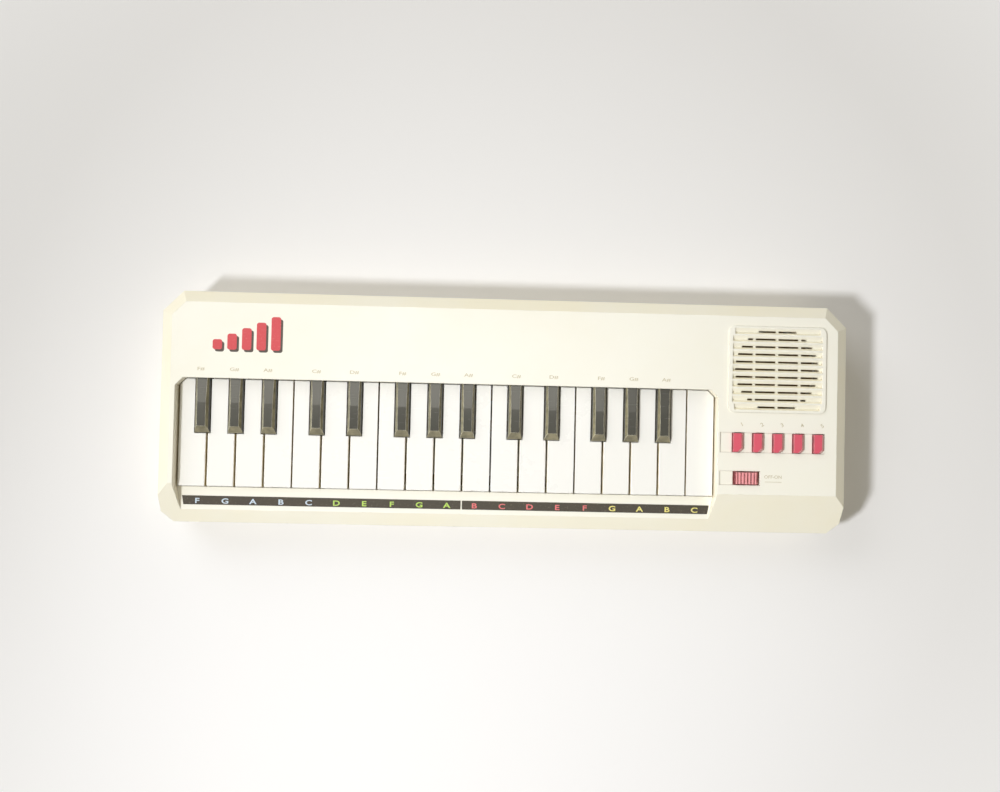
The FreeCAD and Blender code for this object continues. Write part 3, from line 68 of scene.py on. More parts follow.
def srgb(red: int, green: int, blue: int) -> Colour:
    """Turns an eight-bit screen colour into the linear colour that a shader takes.

    Args:
        red: Red from 0 to 255.
        green: Green from 0 to 255.
        blue: Blue from 0 to 255.

    Returns:
        The linear colour, opaque.
    """
    linear = []
    for part in (red, green, blue):
        share = part / 255
        linear.append(share / 12.92 if share <= 0.04045 else ((share + 0.055) / 1.055) ** 2.4)
    return (linear[0], linear[1], linear[2], 1.0)


def metres(x: float, y: float, z: float) -> Place:
    """Gives a place written in millimetres in Blender's metres."""
    return (x * MM, y * MM, z * MM)


def numbered(start: str) -> list[str]:
    """Gives the CAD nodes whose names are these letters and a number, in order."""
    return sorted(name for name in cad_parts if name.startswith(start) and name[len(start):].isdigit())


def middle_x(node: str) -> float:
    """Gives the middle of a CAD node from left to right."""
    low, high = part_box(node)
    return (low[0] + high[0]) / 2


def level_spots(node: str, level: float, gap: float = 1.5 * MM, slack: float = 0.01 * MM) -> list[Span]:
    """Finds the separate level faces that a CAD node has at one height.

    Args:
        node: Name of the node.
        level: The height.
        gap: Points that lie closer than this belong to one face.
        slack: How far from the height a point may lie.

    Returns:
        The X and Y of each face's middle, from left to right.
    """
    points = [vertex.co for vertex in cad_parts[node].data.vertices]
    loose = {(point.x, point.y) for point in points if abs(point.z - level) < slack}
    middles = []
    while loose:
        face = [loose.pop()]
        for point in face:
            near = {other for other in loose if math.dist(point, other) < gap}
            loose -= near
            face.extend(near)
        middles.append(tuple((min(axis) + max(axis)) / 2 for axis in zip(*face)))
    return sorted(middles)


class NodeDesk:
    """Adds and joins the nodes of one shader tree."""

    # Places of the colour sockets on a mix node
    MIX_FACTOR = 0
    MIX_LOW = 6
    MIX_HIGH = 7
    MIX_RESULT = 2

    def __init__(self, tree: bpy.types.NodeTree) -> None:
        """Keeps the tree that the nodes go into."""
        self.tree = tree

    def add(self, kind: str, values: dict | None = None, **settings: object) -> bpy.types.Node:
        """Adds one node.

        Args:
            kind: Blender's name of the node type.
            values: Numbers or colours for input sockets, by socket name.
            settings: Properties of the node itself.

        Returns:
            The new node.
        """
        node = self.tree.nodes.new(kind)
        for name, setting in settings.items():
            setattr(node, name, setting)
        for name, value in (values or {}).items():
            node.inputs[name].default_value = value
        return node

    def join(self, source: Socket, target: Socket) -> None:
        """Links an output socket to an input socket."""
        self.tree.links.new(source, target)

    def feed(self, value: Feed, target: Socket) -> None:
        """Links a socket to an input socket, or writes a number or colour into it.

        Args:
            value: The socket, number or colour.
            target: The input socket.
        """
        if isinstance(value, Socket):
            self.join(value, target)
        else:
            target.default_value = value

    def coords(self) -> Socket:
        """Gives the object's own coordinates."""
        return self.add("ShaderNodeTexCoord").outputs["Object"]

    def noise(self, scale: Feed, vector: Socket | None = None, **values: float) -> Socket:
        """Adds a noise texture.

        Args:
            scale: Its scale.
            vector: Where it is read, or None for the object's own coordinates.
            values: Its other inputs, by name in lower case.

        Returns:
            The noise value's socket.
        """
        node = self.add("ShaderNodeTexNoise", {name.capitalize(): value for name, value in values.items()})
        self.feed(scale, node.inputs["Scale"])
        self.join(self.coords() if vector is None else vector, node.inputs["Vector"])
        return node.outputs["Fac"]

    def math(self, operation: str, first: Feed, second: Feed = 0.0) -> Socket:
        """Adds a math node.

        Args:
            operation: Blender's name of the operation.
            first: A socket or a number.
            second: A socket or a number, if the operation takes two.

        Returns:
            The result's socket.
        """
        node = self.add("ShaderNodeMath", operation=operation)
        self.feed(first, node.inputs[0])
        self.feed(second, node.inputs[1])
        return node.outputs[0]

    def blend(self, factor: Socket, low: Feed, high: Feed) -> Socket:
        """Mixes two colours by a mask.

        Args:
            factor: The mask.
            low: Colour or socket where the mask is 0.
            high: Colour or socket where the mask is 1.

        Returns:
            The mixed colour's socket.
        """
        node = self.add("ShaderNodeMix", data_type="RGBA")
        self.join(factor, node.inputs[self.MIX_FACTOR])
        self.feed(low, node.inputs[self.MIX_LOW])
        self.feed(high, node.inputs[self.MIX_HIGH])
        return node.outputs[self.MIX_RESULT]

    def remap(
        self, source: Socket, low: float, high: Feed, to_low: float = 0.0, to_high: float = 1.0
    ) -> Socket:
        """Maps a range of a value to another range, clamped.

        Args:
            source: The value.
            low: Start of the range that is read.
            high: End of the range that is read.
            to_low: Result at the start.
            to_high: Result at the end.

        Returns:
            The mapped value's socket.
        """
        node = self.add("ShaderNodeMapRange", {"From Min": low, "To Min": to_low, "To Max": to_high})
        self.feed(high, node.inputs["From Max"])
        self.join(source, node.inputs["Value"])
        return node.outputs["Result"]


class Effect(Enum):
    """Surface effects that several finishes share, each a shader node group."""

    CLOUDING = "plastic_clouding"
    # Painted shade in narrow hollows
    CREVICES = "crevice_grime"
    GRAIN = "moulded_grain"
    # Rubbed edges, with painted highlights along them on some finishes
    RUBBED_EDGES = "rubbed_edges"
    SCUFFS = "fine_scuffs"
    # Painted light and painted shade by the way a face looks
    TILT = "tilted_faces"


class EffectShelf:
    """Makes each shared node group once and hands it out."""

    # Ranges that the masks read, each from nothing to full
    CLOUD_SPAN = (0.3, 0.7)
    HOLLOW_SPAN = (0.66, 0.28)
    PATCH_SPAN = (0.35, 0.65)
    SCRATCH_SPAN = (0.68, 0.74)
    LEAN_START = (0.44, 0.5)
    LEAN_END = (0.9, 0.82)
    UPRIGHT_SPAN = (0.45, 0.3)
    ACROSS_SPAN = (0.6, 0.8)
    EDGE_START = 0.998
    # Make of the textures
    BROAD_SHARE = 0.75
    SMALL_STEP = 9.0
    PIT_STEP = 0.6
    HOLLOW_SHADE_PATCHES = 190.0
    WEAR_AND_SHEEN_PATCHES = 160.0
    SCRATCH_TURNS = (0.5, -0.9)
    SCRATCH_LENGTH = 22.0

    def __init__(self) -> None:
        """Starts with no groups made."""
        self.made: dict[Effect, bpy.types.NodeTree] = {}

    def get(self, effect: Effect) -> bpy.types.NodeTree:
        """Gives the node group of an effect.

        Args:
            effect: The effect that is wanted.

        Returns:
            Its node group.
        """
        if effect not in self.made:
            makers = {
                Effect.CLOUDING: self._clouding,
                Effect.CREVICES: self._crevices,
                Effect.GRAIN: self._grain,
                Effect.RUBBED_EDGES: self._rubbed_edges,
                Effect.SCUFFS: self._scuffs,
                Effect.TILT: self._tilt,
            }
            self.made[effect] = makers[effect]()
        return self.made[effect]

    @staticmethod
    def _start(
        effect: Effect, inputs: dict[str, float], outputs: dict[str, str]
    ) -> tuple[bpy.types.NodeTree, NodeDesk, bpy.types.Node, bpy.types.Node]:
        """Opens a new group with its sockets.

        Args:
            effect: The effect that the group makes.
            inputs: Default of each input value, by name.
            outputs: Socket kind of each output, by name.

        Returns:
            The group, its desk, its input node and its output node.
        """
        group = bpy.data.node_groups.new(effect.value, "ShaderNodeTree")
        for socket, default in inputs.items():
            made = group.interface.new_socket(name=socket, in_out="INPUT", socket_type=VALUE)
            made.default_value = default
        for socket, kind in outputs.items():
            group.interface.new_socket(name=socket, in_out="OUTPUT", socket_type=kind)
        desk = NodeDesk(group)
        return group, desk, desk.add("NodeGroupInput"), desk.add("NodeGroupOutput")

    def _uneven(self, desk: NodeDesk, scale: Feed, least: float) -> Socket:
        """Gives a patchy mask from a least value up to 1."""
        return desk.remap(desk.noise(scale, detail=3.0), *self.PATCH_SPAN, least, 1.0)

    def _clouding(self) -> bpy.types.NodeTree:
        """Slow drift of tone over a moulding, with faint flow marks.

        Returns:
            The node group.
        """
        group, desk, source, target = self._start(Effect.CLOUDING, {"Scale": 12.0}, {"Cloud": VALUE})
        scale = source.outputs["Scale"]
        broad = desk.noise(scale, detail=3.0, roughness=0.55, distortion=0.6)
        small = desk.noise(desk.math("MULTIPLY", scale, self.SMALL_STEP), detail=4.0, roughness=0.6)
        mixed = desk.math("ADD", desk.math("MULTIPLY", broad, self.BROAD_SHARE),
                          desk.math("MULTIPLY", small, 1.0 - self.BROAD_SHARE))
        desk.join(desk.remap(mixed, *self.CLOUD_SPAN), target.inputs["Cloud"])
        return group

    def _crevices(self) -> bpy.types.NodeTree:
        """Mask of narrow hollows found by ambient occlusion, for painted shade where little light reaches.

        Returns:
            The node group.
        """
        group, desk, source, target = self._start(Effect.CREVICES, {"Reach": 0.9 * MM}, {"Grime": VALUE})
        hollow = desk.add("ShaderNodeAmbientOcclusion", samples=8)
        desk.join(source.outputs["Reach"], hollow.inputs["Distance"])
        deep = desk.remap(hollow.outputs["AO"], *self.HOLLOW_SPAN)
        uneven = self._uneven(desk, self.HOLLOW_SHADE_PATCHES, least=0.6)
        desk.join(desk.math("MULTIPLY", deep, uneven), target.inputs["Grime"])
        return group

    def _grain(self) -> bpy.types.NodeTree:
        """Fine texture of the mould's surface, as a height.

        Returns:
            The node group.
        """
        group, desk, source, target = self._start(Effect.GRAIN, {"Scale": 2600.0}, {"Height": VALUE})
        scale = source.outputs["Scale"]
        pits = desk.add("ShaderNodeTexVoronoi", feature="SMOOTH_F1")
        desk.join(desk.coords(), pits.inputs["Vector"])
        desk.join(scale, pits.inputs["Scale"])
        fine = desk.noise(desk.math("MULTIPLY", scale, self.PIT_STEP), detail=2.0)
        desk.join(desk.math("ADD", pits.outputs["Distance"], fine), target.inputs["Height"])
        return group

    def _rubbed_edges(self) -> bpy.types.NodeTree:
        """Mask of edges, for wear and for painted highlights along them, and the normal of edges rounded by
        a radius.

        Returns:
            The node group.
        """
        outputs = {"Edge": VALUE, "Normal": VECTOR}
        inputs = {"Radius": 0.4 * MM, "Full": 0.86}
        group, desk, source, target = self._start(Effect.RUBBED_EDGES, inputs, outputs)
        rounded = desk.add("ShaderNodeBevel", samples=6)
        desk.join(source.outputs["Radius"], rounded.inputs["Radius"])
        turn = desk.add("ShaderNodeVectorMath", operation="DOT_PRODUCT")
        desk.join(rounded.outputs["Normal"], turn.inputs[0])
        desk.join(desk.add("ShaderNodeNewGeometry").outputs["Normal"], turn.inputs[1])
        edge = desk.remap(turn.outputs["Value"], self.EDGE_START, source.outputs["Full"])
        uneven = self._uneven(desk, self.WEAR_AND_SHEEN_PATCHES, least=0.35)
        desk.join(desk.math("MULTIPLY", edge, uneven), target.inputs["Edge"])
        desk.join(rounded.outputs["Normal"], target.inputs["Normal"])
        return group

    def _scuffs(self) -> bpy.types.NodeTree:
        """Sparse fine scratches in two directions.

        Returns:
            The node group.
        """
        group, desk, source, target = self._start(Effect.SCUFFS, {"Scale": 70.0}, {"Scuff": VALUE})
        masks = []
        for turn in self.SCRATCH_TURNS:
            stretch = (1.0, self.SCRATCH_LENGTH, 1.0)
            lay = desk.add("ShaderNodeMapping", {"Rotation": (0.0, 0.0, turn), "Scale": stretch})
            desk.join(desk.coords(), lay.inputs["Vector"])
            lines = desk.noise(source.outputs["Scale"], lay.outputs["Vector"], detail=2.0, roughness=0.4)
            masks.append(desk.remap(lines, *self.SCRATCH_SPAN))
        desk.join(desk.math("MAXIMUM", *masks), target.inputs["Scuff"])
        return group

    def _tilt(self) -> bpy.types.NodeTree:
        """Masks of leaning facets, of upright sides, and of those sides that face left or right, for painted
        light and painted shade by the way a face looks.

        Returns:
            The node group.
        """
        outputs = dict.fromkeys(("Facet", "Side", "Flank"), VALUE)
        group, desk, source, target = self._start(Effect.TILT, {"Scale": 220.0}, outputs)
        parts = desk.add("ShaderNodeSeparateXYZ")
        desk.join(desk.add("ShaderNodeTexCoord").outputs["Normal"], parts.inputs[0])
        up = parts.outputs["Z"]
        masks = {
            "Facet": desk.math("MULTIPLY", desk.remap(up, *self.LEAN_START), desk.remap(up, *self.LEAN_END)),
            "Side": desk.remap(desk.math("ABSOLUTE", up), *self.UPRIGHT_SPAN),
            "Flank": desk.remap(desk.math("ABSOLUTE", parts.outputs["X"]), *self.ACROSS_SPAN),
        }
        uneven = self._uneven(desk, source.outputs["Scale"], least=0.55)
        for socket, mask in masks.items():
            desk.join(desk.math("MULTIPLY", mask, uneven), target.inputs[socket])
        return group


EFFECTS = EffectShelf()


def new_surface(name: str) -> tuple[bpy.types.Material, NodeDesk, bpy.types.Node]:
    """Opens an empty material with its shader.

    Args:
        name: Name of the material.

    Returns:
        The material, a desk for its nodes and its Principled shader.
    """
    material = bpy.data.materials.new(name)
    material.use_nodes = True
    material.node_tree.nodes.clear()
    desk = NodeDesk(material.node_tree)
    shader = desk.add("ShaderNodeBsdfPrincipled")
    output = desk.add("ShaderNodeOutputMaterial")
    desk.join(shader.outputs["BSDF"], output.inputs["Surface"])
    return material, desk, shader


def place_effect(desk: NodeDesk, effect: Effect, **values: float) -> bpy.types.Node:
    """Puts a shared effect into a material.

    Args:
        desk: The material's desk.
        effect: The effect.
        values: Its input values, by name in lower case.

    Returns:
        The group node.
    """
    node = desk.add("ShaderNodeGroup", node_tree=EFFECTS.get(effect))
    for name, value in values.items():
        node.inputs[name.capitalize()].default_value = value
    return node


@dataclass(frozen=True)
class MouldedPlastic:
    """Injection-moulded plastic with slow drift of tone, fine grain, scuffs and rubbed edges; it can also
    carry painted highlights on edges, painted light and painted shade by the way faces look, and painted
    shade in narrow hollows.
    """

    name: str
    colour: Colour
    aged: Colour
    # Colour of rubbed edges: wear, and on some finishes also painted highlights
    edge: Colour
    roughness: float = 0.38
    duller: float = 0.06
    glossier: float = 0.05
    age_share: float = 0.5
    cloud_scale: float = 14.0
    edge_share: float = 0.4
    edge_radius: float = 0.4 * MM
    edge_full: float = 0.86
    scuff_scale: float = 60.0
    scuff_dullness: float = 0.16
    grain: float = 2600.0
    grain_strength: float = 0.06
    grain_depth: float = 0.1 * MM
    coat: float = 0.0
    coat_roughness: float = 0.12
    # Painted light and painted shade on leaning facets: a colour and its share
    facet: Colour | None = None
    facet_share: float = 0.6
    # Painted shade on upright sides: a colour and its share
    side: Colour | None = None
    side_share: float = 0.8
    # Painted shade on sides that face left or right: a colour and its share
    flank: Colour | None = None
    flank_share: float = 0.8
    tilt_scale: float = 220.0
    # Painted shade in narrow hollows: a colour and its share
    grime: Colour | None = None
    hollow_shade_share: float = 0.75

    def material(self) -> bpy.types.Material:
        """Builds the material.

        Returns:
            The material.
        """
        material, desk, shader = new_surface(self.name)
        cloud = place_effect(desk, Effect.CLOUDING, scale=self.cloud_scale).outputs["Cloud"]
        edges = place_effect(desk, Effect.RUBBED_EDGES, radius=self.edge_radius, full=self.edge_full)
        scuff = place_effect(desk, Effect.SCUFFS, scale=self.scuff_scale).outputs["Scuff"]
        grain = place_effect(desk, Effect.GRAIN, scale=self.grain).outputs["Height"]
        desk.join(self._tone(desk, cloud, edges.outputs["Edge"]), shader.inputs["Base Color"])
        rough = desk.remap(cloud, 0.0, 1.0, self.roughness - self.glossier, self.roughness + self.duller)
        rough = desk.math("ADD", rough, desk.math("MULTIPLY", scuff, self.scuff_dullness))
        desk.join(rough, shader.inputs["Roughness"])
        bump = desk.add("ShaderNodeBump", {"Strength": self.grain_strength, "Distance": self.grain_depth})
        desk.join(grain, bump.inputs["Height"])
        desk.join(edges.outputs["Normal"], bump.inputs["Normal"])
        desk.join(bump.outputs["Normal"], shader.inputs["Normal"])
        shader.inputs["Coat Weight"].default_value = self.coat
        shader.inputs["Coat Roughness"].default_value = self.coat_roughness
        return material

    def _tone(self, desk: NodeDesk, cloud: Socket, worn: Socket) -> Socket:
        """Lays the colours over each other: drift of tone, painted light and painted shade by the way faces
        look, edge wear with painted highlights, and painted shade in narrow hollows.

        Args:
            desk: Desk of the material.
            cloud: Mask of the slow drift of tone.
            worn: Mask of the rubbed edges, which carry wear and painted highlights.

        Returns:
            The colour's socket.
        """
        layers = [(cloud, self.age_share, self.aged)]
        # Painted light and painted shade by the way each face looks
        if self.facet or self.side or self.flank:
            tilt = place_effect(desk, Effect.TILT, scale=self.tilt_scale).outputs
            layers.append((tilt["Facet"], self.facet_share, self.facet))
            layers.append((tilt["Side"], self.side_share, self.side))
            layers.append((tilt["Flank"], self.flank_share, self.flank))
        layers.append((worn, self.edge_share, self.edge))
        # Painted shade in narrow hollows
        if self.grime:
            hollow_shade_mask = place_effect(desk, Effect.CREVICES).outputs["Grime"]
            layers.append((hollow_shade_mask, self.hollow_shade_share, self.grime))
        tone = self.colour
        for mask, share, colour in layers:
            if colour:
                tone = desk.blend(desk.math("MULTIPLY", mask, share), tone, colour)
        return tone


@dataclass(frozen=True)
class PrintedFilm:
    """Thin printed film with a satin face and a little dust."""

    name: str
    colour: Colour
    dust: Colour
    roughness: float = 0.42
    duller: float = 0.12
    cloud_scale: float = 45.0
    cloud_dust: float = 0.12
    scuff_scale: float = 110.0
    scuff_dust: float = 0.2
    speck_scale: float = 900.0
    speck_span: Span = (0.6, 0.75)
    speck_dust: float = 0.45

    def material(self) -> bpy.types.Material:
        """Builds the material.

        Returns:
            The material.
        """
        material, desk, shader = new_surface(self.name)
        cloud = place_effect(desk, Effect.CLOUDING, scale=self.cloud_scale).outputs["Cloud"]
        scuff = place_effect(desk, Effect.SCUFFS, scale=self.scuff_scale).outputs["Scuff"]
        specks = desk.noise(self.speck_scale, detail=2.0)
        dusty = desk.remap(specks, *self.speck_span, 0.0, self.speck_dust)
        dusty = desk.math("ADD", dusty, desk.math("MULTIPLY", cloud, self.cloud_dust))
        dusty = desk.math("ADD", dusty, desk.math("MULTIPLY", scuff, self.scuff_dust))
        desk.join(desk.blend(dusty, self.colour, self.dust), shader.inputs["Base Color"])
        rough = desk.remap(cloud, 0.0, 1.0, self.roughness, self.roughness + self.duller)
        desk.join(rough, shader.inputs["Roughness"])
        return material


@dataclass(frozen=True)
class PlatedSteel:
    """Zinc-plated steel with a fine brushed lay and dull patches."""

    name: str
    colour: Colour
    dull: Colour
    roughness: float = 0.32
    duller: float = 0.12
    glossier: float = 0.08
    cloud_scale: float = 60.0
    scuff_scale: float = 240.0
    scuff_dullness: float = 0.1
    edge_radius: float = 0.2 * MM

    def material(self) -> bpy.types.Material:
        """Builds the material.

        Returns:
            The material.
        """
        material, desk, shader = new_surface(self.name)
        cloud = place_effect(desk, Effect.CLOUDING, scale=self.cloud_scale).outputs["Cloud"]
        scuff = place_effect(desk, Effect.SCUFFS, scale=self.scuff_scale).outputs["Scuff"]
        edges = place_effect(desk, Effect.RUBBED_EDGES, radius=self.edge_radius)
        desk.join(desk.blend(cloud, self.colour, self.dull), shader.inputs["Base Color"])
        rough = desk.remap(cloud, 0.0, 1.0, self.roughness - self.glossier, self.roughness + self.duller)
        rough = desk.math("ADD", rough, desk.math("MULTIPLY", scuff, self.scuff_dullness))
        desk.join(rough, shader.inputs["Roughness"])
        desk.join(edges.outputs["Normal"], shader.inputs["Normal"])
        shader.inputs["Metallic"].default_value = 1.0
        return material


@dataclass(frozen=True)
class FibrousSheet:
    """Felt, paper pulp or phenolic laminate: a matted surface with loose fibres."""

    name: str
    colour: Colour
    fibre: Colour
    scale: float = 700.0
    height: float = 0.4
    roughness: float = 0.85
    glossier: float = 0.1
    tangle: float = 1.4
    strand_span: Span = (0.42, 0.62)
    strand_depth: float = 0.2 * MM

    def material(self) -> bpy.types.Material:
        """Builds the material.

        Returns:
            The material.
        """
        material, desk, shader = new_surface(self.name)
        fibres = desk.noise(self.scale, detail=5.0, distortion=self.tangle)
        strand = desk.remap(fibres, *self.strand_span)
        desk.join(desk.blend(strand, self.colour, self.fibre), shader.inputs["Base Color"])
        rough = desk.remap(strand, 0.0, 1.0, self.roughness - self.glossier, self.roughness)
        desk.join(rough, shader.inputs["Roughness"])
        bump = desk.add("ShaderNodeBump", {"Strength": self.height, "Distance": self.strand_depth})
        desk.join(strand, bump.inputs["Height"])
        desk.join(bump.outputs["Normal"], shader.inputs["Normal"])
        return material


class Palette:
    """All the finishes of the keyboard, made once."""

    def __init__(self) -> None:
        """Builds every material."""
        # Cream case: the facet colour paints a yellower shade tone on leaning faces, the side colour paints
        # shade on upright walls, and the dark brown hollow colour paints shade in narrow hollows
        self.case = MouldedPlastic(
            "cream_plastic", srgb(254, 252, 239), srgb(252, 248, 229), srgb(255, 254, 246),
            roughness=0.4, grain_strength=0.08, edge_radius=0.6 * MM,
            facet=srgb(255, 247, 216), facet_share=0.8, side=srgb(253, 243, 218), side_share=0.7,
            tilt_scale=24.0, grime=srgb(104, 84, 44), hollow_shade_share=0.85,
        ).material()
        # White keys: the side colour paints shade on upright faces, the brown flank colour paints shade in a
        # grime tone on the sides facing the neighbouring keys, and the hollow colour paints darker shade
        # deep in the gaps
        self.white_key = MouldedPlastic(
            "white_key_plastic", srgb(253, 252, 246), srgb(251, 249, 240), srgb(254, 254, 250),
            roughness=0.28, grain_strength=0.02, edge_radius=0.5 * MM, coat=0.2,
            side=srgb(246, 237, 212), side_share=0.6, flank=srgb(192, 168, 84), flank_share=0.75,
            grime=srgb(108, 90, 22), hollow_shade_share=0.95,
        ).material()
        # Black keys: the edge colour paints pale highlights along the ridges on top of wear, the facet
        # colour paints a pale reflection on the leaning facets, and the side colour paints shade on the
        # upright sides
        self.black_key = MouldedPlastic(
            "black_key_plastic", srgb(54, 53, 43), srgb(63, 61, 50), srgb(226, 221, 194),
            roughness=0.19, edge_share=0.9, edge_radius=0.45 * MM, edge_full=0.986, grain_strength=0.015,
            facet=srgb(176, 167, 131), facet_share=0.69, side=srgb(38, 35, 26), side_share=0.85,
        ).material()
        # Red buttons: the edge and facet colours paint pale highlights on edges and bevels, and the side
        # colour paints shade on the upright sides
        self.red = MouldedPlastic(
            "red_plastic", srgb(226, 88, 108), srgb(220, 78, 100), srgb(244, 172, 174),
            roughness=0.32, edge_share=0.65, edge_radius=0.45 * MM, edge_full=0.92,
            grain_strength=0.03, coat=0.2,
            facet=srgb(248, 192, 186), facet_share=0.9, side=srgb(112, 22, 36), side_share=0.85,
        ).material()
        # Switch knob: the side colour and the hollow colour paint dark shade on its sides and in the gap
        # around it
        self.knob = MouldedPlastic(
            "knob_plastic", srgb(255, 170, 172), srgb(252, 160, 163), srgb(255, 206, 204),
            roughness=0.36, edge_share=0.5, edge_radius=0.3 * MM, grain_strength=0.03,
            side=srgb(96, 20, 34), side_share=0.9, grime=srgb(84, 18, 30),
        ).material()
        self.label = PrintedFilm("label_film", srgb(58, 52, 42), srgb(112, 104, 86)).material()
        self.foot_rubber = MouldedPlastic(
            "foot_rubber", srgb(44, 42, 40), srgb(56, 53, 50), srgb(86, 82, 76),
            roughness=0.75, grain=1800.0, grain_strength=0.25,
        ).material()
        self.silicone = MouldedPlastic(
            "silicone_rubber", srgb(186, 186, 180), srgb(172, 172, 164), srgb(206, 206, 200),
            roughness=0.6, grain_strength=0.1,
        ).material()
        self.vinyl = MouldedPlastic(
            "vinyl_insulation", srgb(150, 150, 156), srgb(136, 136, 142), srgb(178, 178, 182),
            roughness=0.45, grain_strength=0.04,
        ).material()
        self.steel = PlatedSteel("plated_steel", srgb(206, 204, 196), srgb(168, 165, 156)).material()
        self.magnet = MouldedPlastic(
            "ferrite", srgb(58, 56, 55), srgb(72, 69, 67), srgb(104, 101, 97),
            roughness=0.62, grain=900.0, grain_strength=0.3,
        ).material()
        self.cone = FibrousSheet(
            "cone_paper", srgb(140, 116, 80), srgb(164, 138, 98), scale=900.0, height=0.5,
        ).material()
        self.felt = FibrousSheet(
            "brown_felt", srgb(112, 86, 52), srgb(140, 112, 74), scale=1200.0, height=0.8, roughness=0.95,
        ).material()
        self.board = FibrousSheet(
            "phenolic_board", srgb(150, 104, 52), srgb(176, 128, 70), scale=260.0, height=0.1, roughness=0.5,
        ).material()


@dataclass(frozen=True)
class Lettering:
    """Style of printed letters: size, widening, turn in degrees and thickening of the strokes."""

    size: float
    stretch: float
    turn: float = 0.0
    weight: float = 0.0


class Workbench:
    """Small moves that every modelled piece uses."""

    LETTER_LIFT = 0.02 * MM
    LETTER_STEPS = 4
    CORNER_STEPS = 5

    @staticmethod
    def clear_selection() -> None:
        """Deselects everything, so that an operator acts on the new piece alone."""
        if bpy.context.mode != "OBJECT":
            bpy.ops.object.mode_set(mode="OBJECT")
        bpy.ops.object.select_all(action="DESELECT")

    @staticmethod
    def title(piece: bpy.types.Object, name: str) -> bpy.types.Object:
        """Names a piece and its mesh.

        Args:
            piece: The piece.
            name: Its name.

        Returns:
            The piece.
        """
        piece.name = name
        piece.data.name = name
        return piece

    @classmethod
    def settle(cls, piece: bpy.types.Object, name: str) -> bpy.types.Object:
        """Writes a piece's place into its mesh and names it.

        Args:
            piece: The piece, the only one selected.
            name: Its name.

        Returns:
            The piece.
        """
        bpy.ops.object.transform_apply(location=True, rotation=True, scale=True)
        return cls.title(piece, name)

    @classmethod
    def merge(cls, pieces: Sequence[bpy.types.Object], name: str) -> bpy.types.Object:
        """Joins several pieces into one.

        Args:
            pieces: The pieces.
            name: Name of the joined piece.

        Returns:
            The joined piece.
        """
        cls.clear_selection()
        for piece in pieces:
            piece.select_set(True)
        bpy.context.view_layer.objects.active = pieces[0]
        bpy.ops.object.join()
        return cls.title(bpy.context.view_layer.objects.active, name)

    @classmethod
    def copy(cls, piece: bpy.types.Object, place: Place, name: str) -> bpy.types.Object:
        """Copies a piece that was modelled at the origin, with its own mesh.

        Args:
            piece: The piece.
            place: Where the copy goes.
            name: Name of the copy.

        Returns:
            The copy, in place.
        """
        cls.clear_selection()
        copy = piece.copy()
        copy.data = piece.data.copy()
        copy.location = place
        bpy.context.scene.collection.objects.link(copy)
        copy.select_set(True)
        bpy.context.view_layer.objects.active = copy
        return cls.settle(copy, name)

    @staticmethod
    def thicken(lift: float) -> None:
        """Raises the flat piece in edit mode to a closed slab, and leaves edit mode.

        Args:
            lift: Thickness of the slab.
        """
        bpy.ops.mesh.select_all(action="SELECT")
        bpy.ops.mesh.extrude_region_move(TRANSFORM_OT_translate={"value": (0.0, 0.0, lift)})
        bpy.ops.mesh.select_all(action="SELECT")
        bpy.ops.mesh.normals_make_consistent(inside=False)
        bpy.ops.object.mode_set(mode="OBJECT")

    @classmethod
    def letters(cls, words: str, place: Place, style: Lettering) -> bpy.types.Object:
        """Makes flat letters as a mesh.

        Args:
            words: The text.
            place: Middle of the text, on the surface.
            style: Style of the letters, in millimetres.

        Returns:
            The letters as one mesh piece.
        """
        cls.clear_selection()
        bpy.ops.object.text_add()
        text = bpy.context.object.data
        text.body = words
        text.align_x = "CENTER"
        text.align_y = "CENTER"
        text.size = style.size * MM
        text.offset = style.weight * MM
        text.extrude = cls.LETTER_LIFT
        text.resolution_u = cls.LETTER_STEPS
        bpy.ops.object.convert(target="MESH")
        piece = bpy.context.object
        piece.location = place
        piece.rotation_euler = (0.0, 0.0, math.radians(style.turn))
        piece.scale = (style.stretch, 1.0, 1.0)
        return cls.settle(piece, "letters")

    @classmethod
    def patch(cls, low: Place, high: Place, corner: float) -> bpy.types.Object:
        """Makes a flat patch with rounded corners.

        Args:
            low: Lowest corner.
            high: Highest corner.
            corner: Corner radius.

        Returns:
            The patch as a mesh piece.
        """
        cls.clear_selection()
        size = Vector(high) - Vector(low)
        centre = (Vector(low) + Vector(high)) / 2
        bpy.ops.mesh.primitive_plane_add(size=1.0, location=(centre.x, centre.y, low[2]))
        piece = bpy.context.object
        piece.scale = (size.x, size.y, 1.0)
        bpy.ops.object.transform_apply(location=False, rotation=False, scale=True)
        bpy.ops.object.mode_set(mode="EDIT")
        bpy.ops.mesh.select_all(action="SELECT")
        bpy.ops.mesh.bevel(offset=corner, segments=cls.CORNER_STEPS, affect="VERTICES")
        cls.thicken(size.z)
        return cls.settle(piece, "patch")


def dress(nodes: Iterable[str], material: bpy.types.Material) -> None:
    """Gives CAD nodes a finish.

    Args:
        nodes: Names of the nodes.
        material: The finish.
    """
    for name in nodes:
        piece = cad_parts[name]
        piece.data.materials.clear()
        piece.data.materials.append(material)
        LOG.info("dressed %s", name)


def mount_piece(piece: bpy.types.Object, material: bpy.types.Material, body: str) -> None:
    """Gives a new piece its finish and fixes it to a CAD body.

    Args:
        piece: The piece, in place.
        material: Its finish.
        body: The body that it rides on.
    """
    piece.data.materials.clear()
    piece.data.materials.append(material)
    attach(piece, body)
    LOG.info("built %s", piece.name)


@dataclass
class CaseShells:
    """Upper and lower shells and the battery door."""

    palette: Palette

    def finish(self) -> None:
        """Dresses the shells in cream plastic."""
        dress(["top_case", "bottom_case", "battery_door"], self.palette.case)


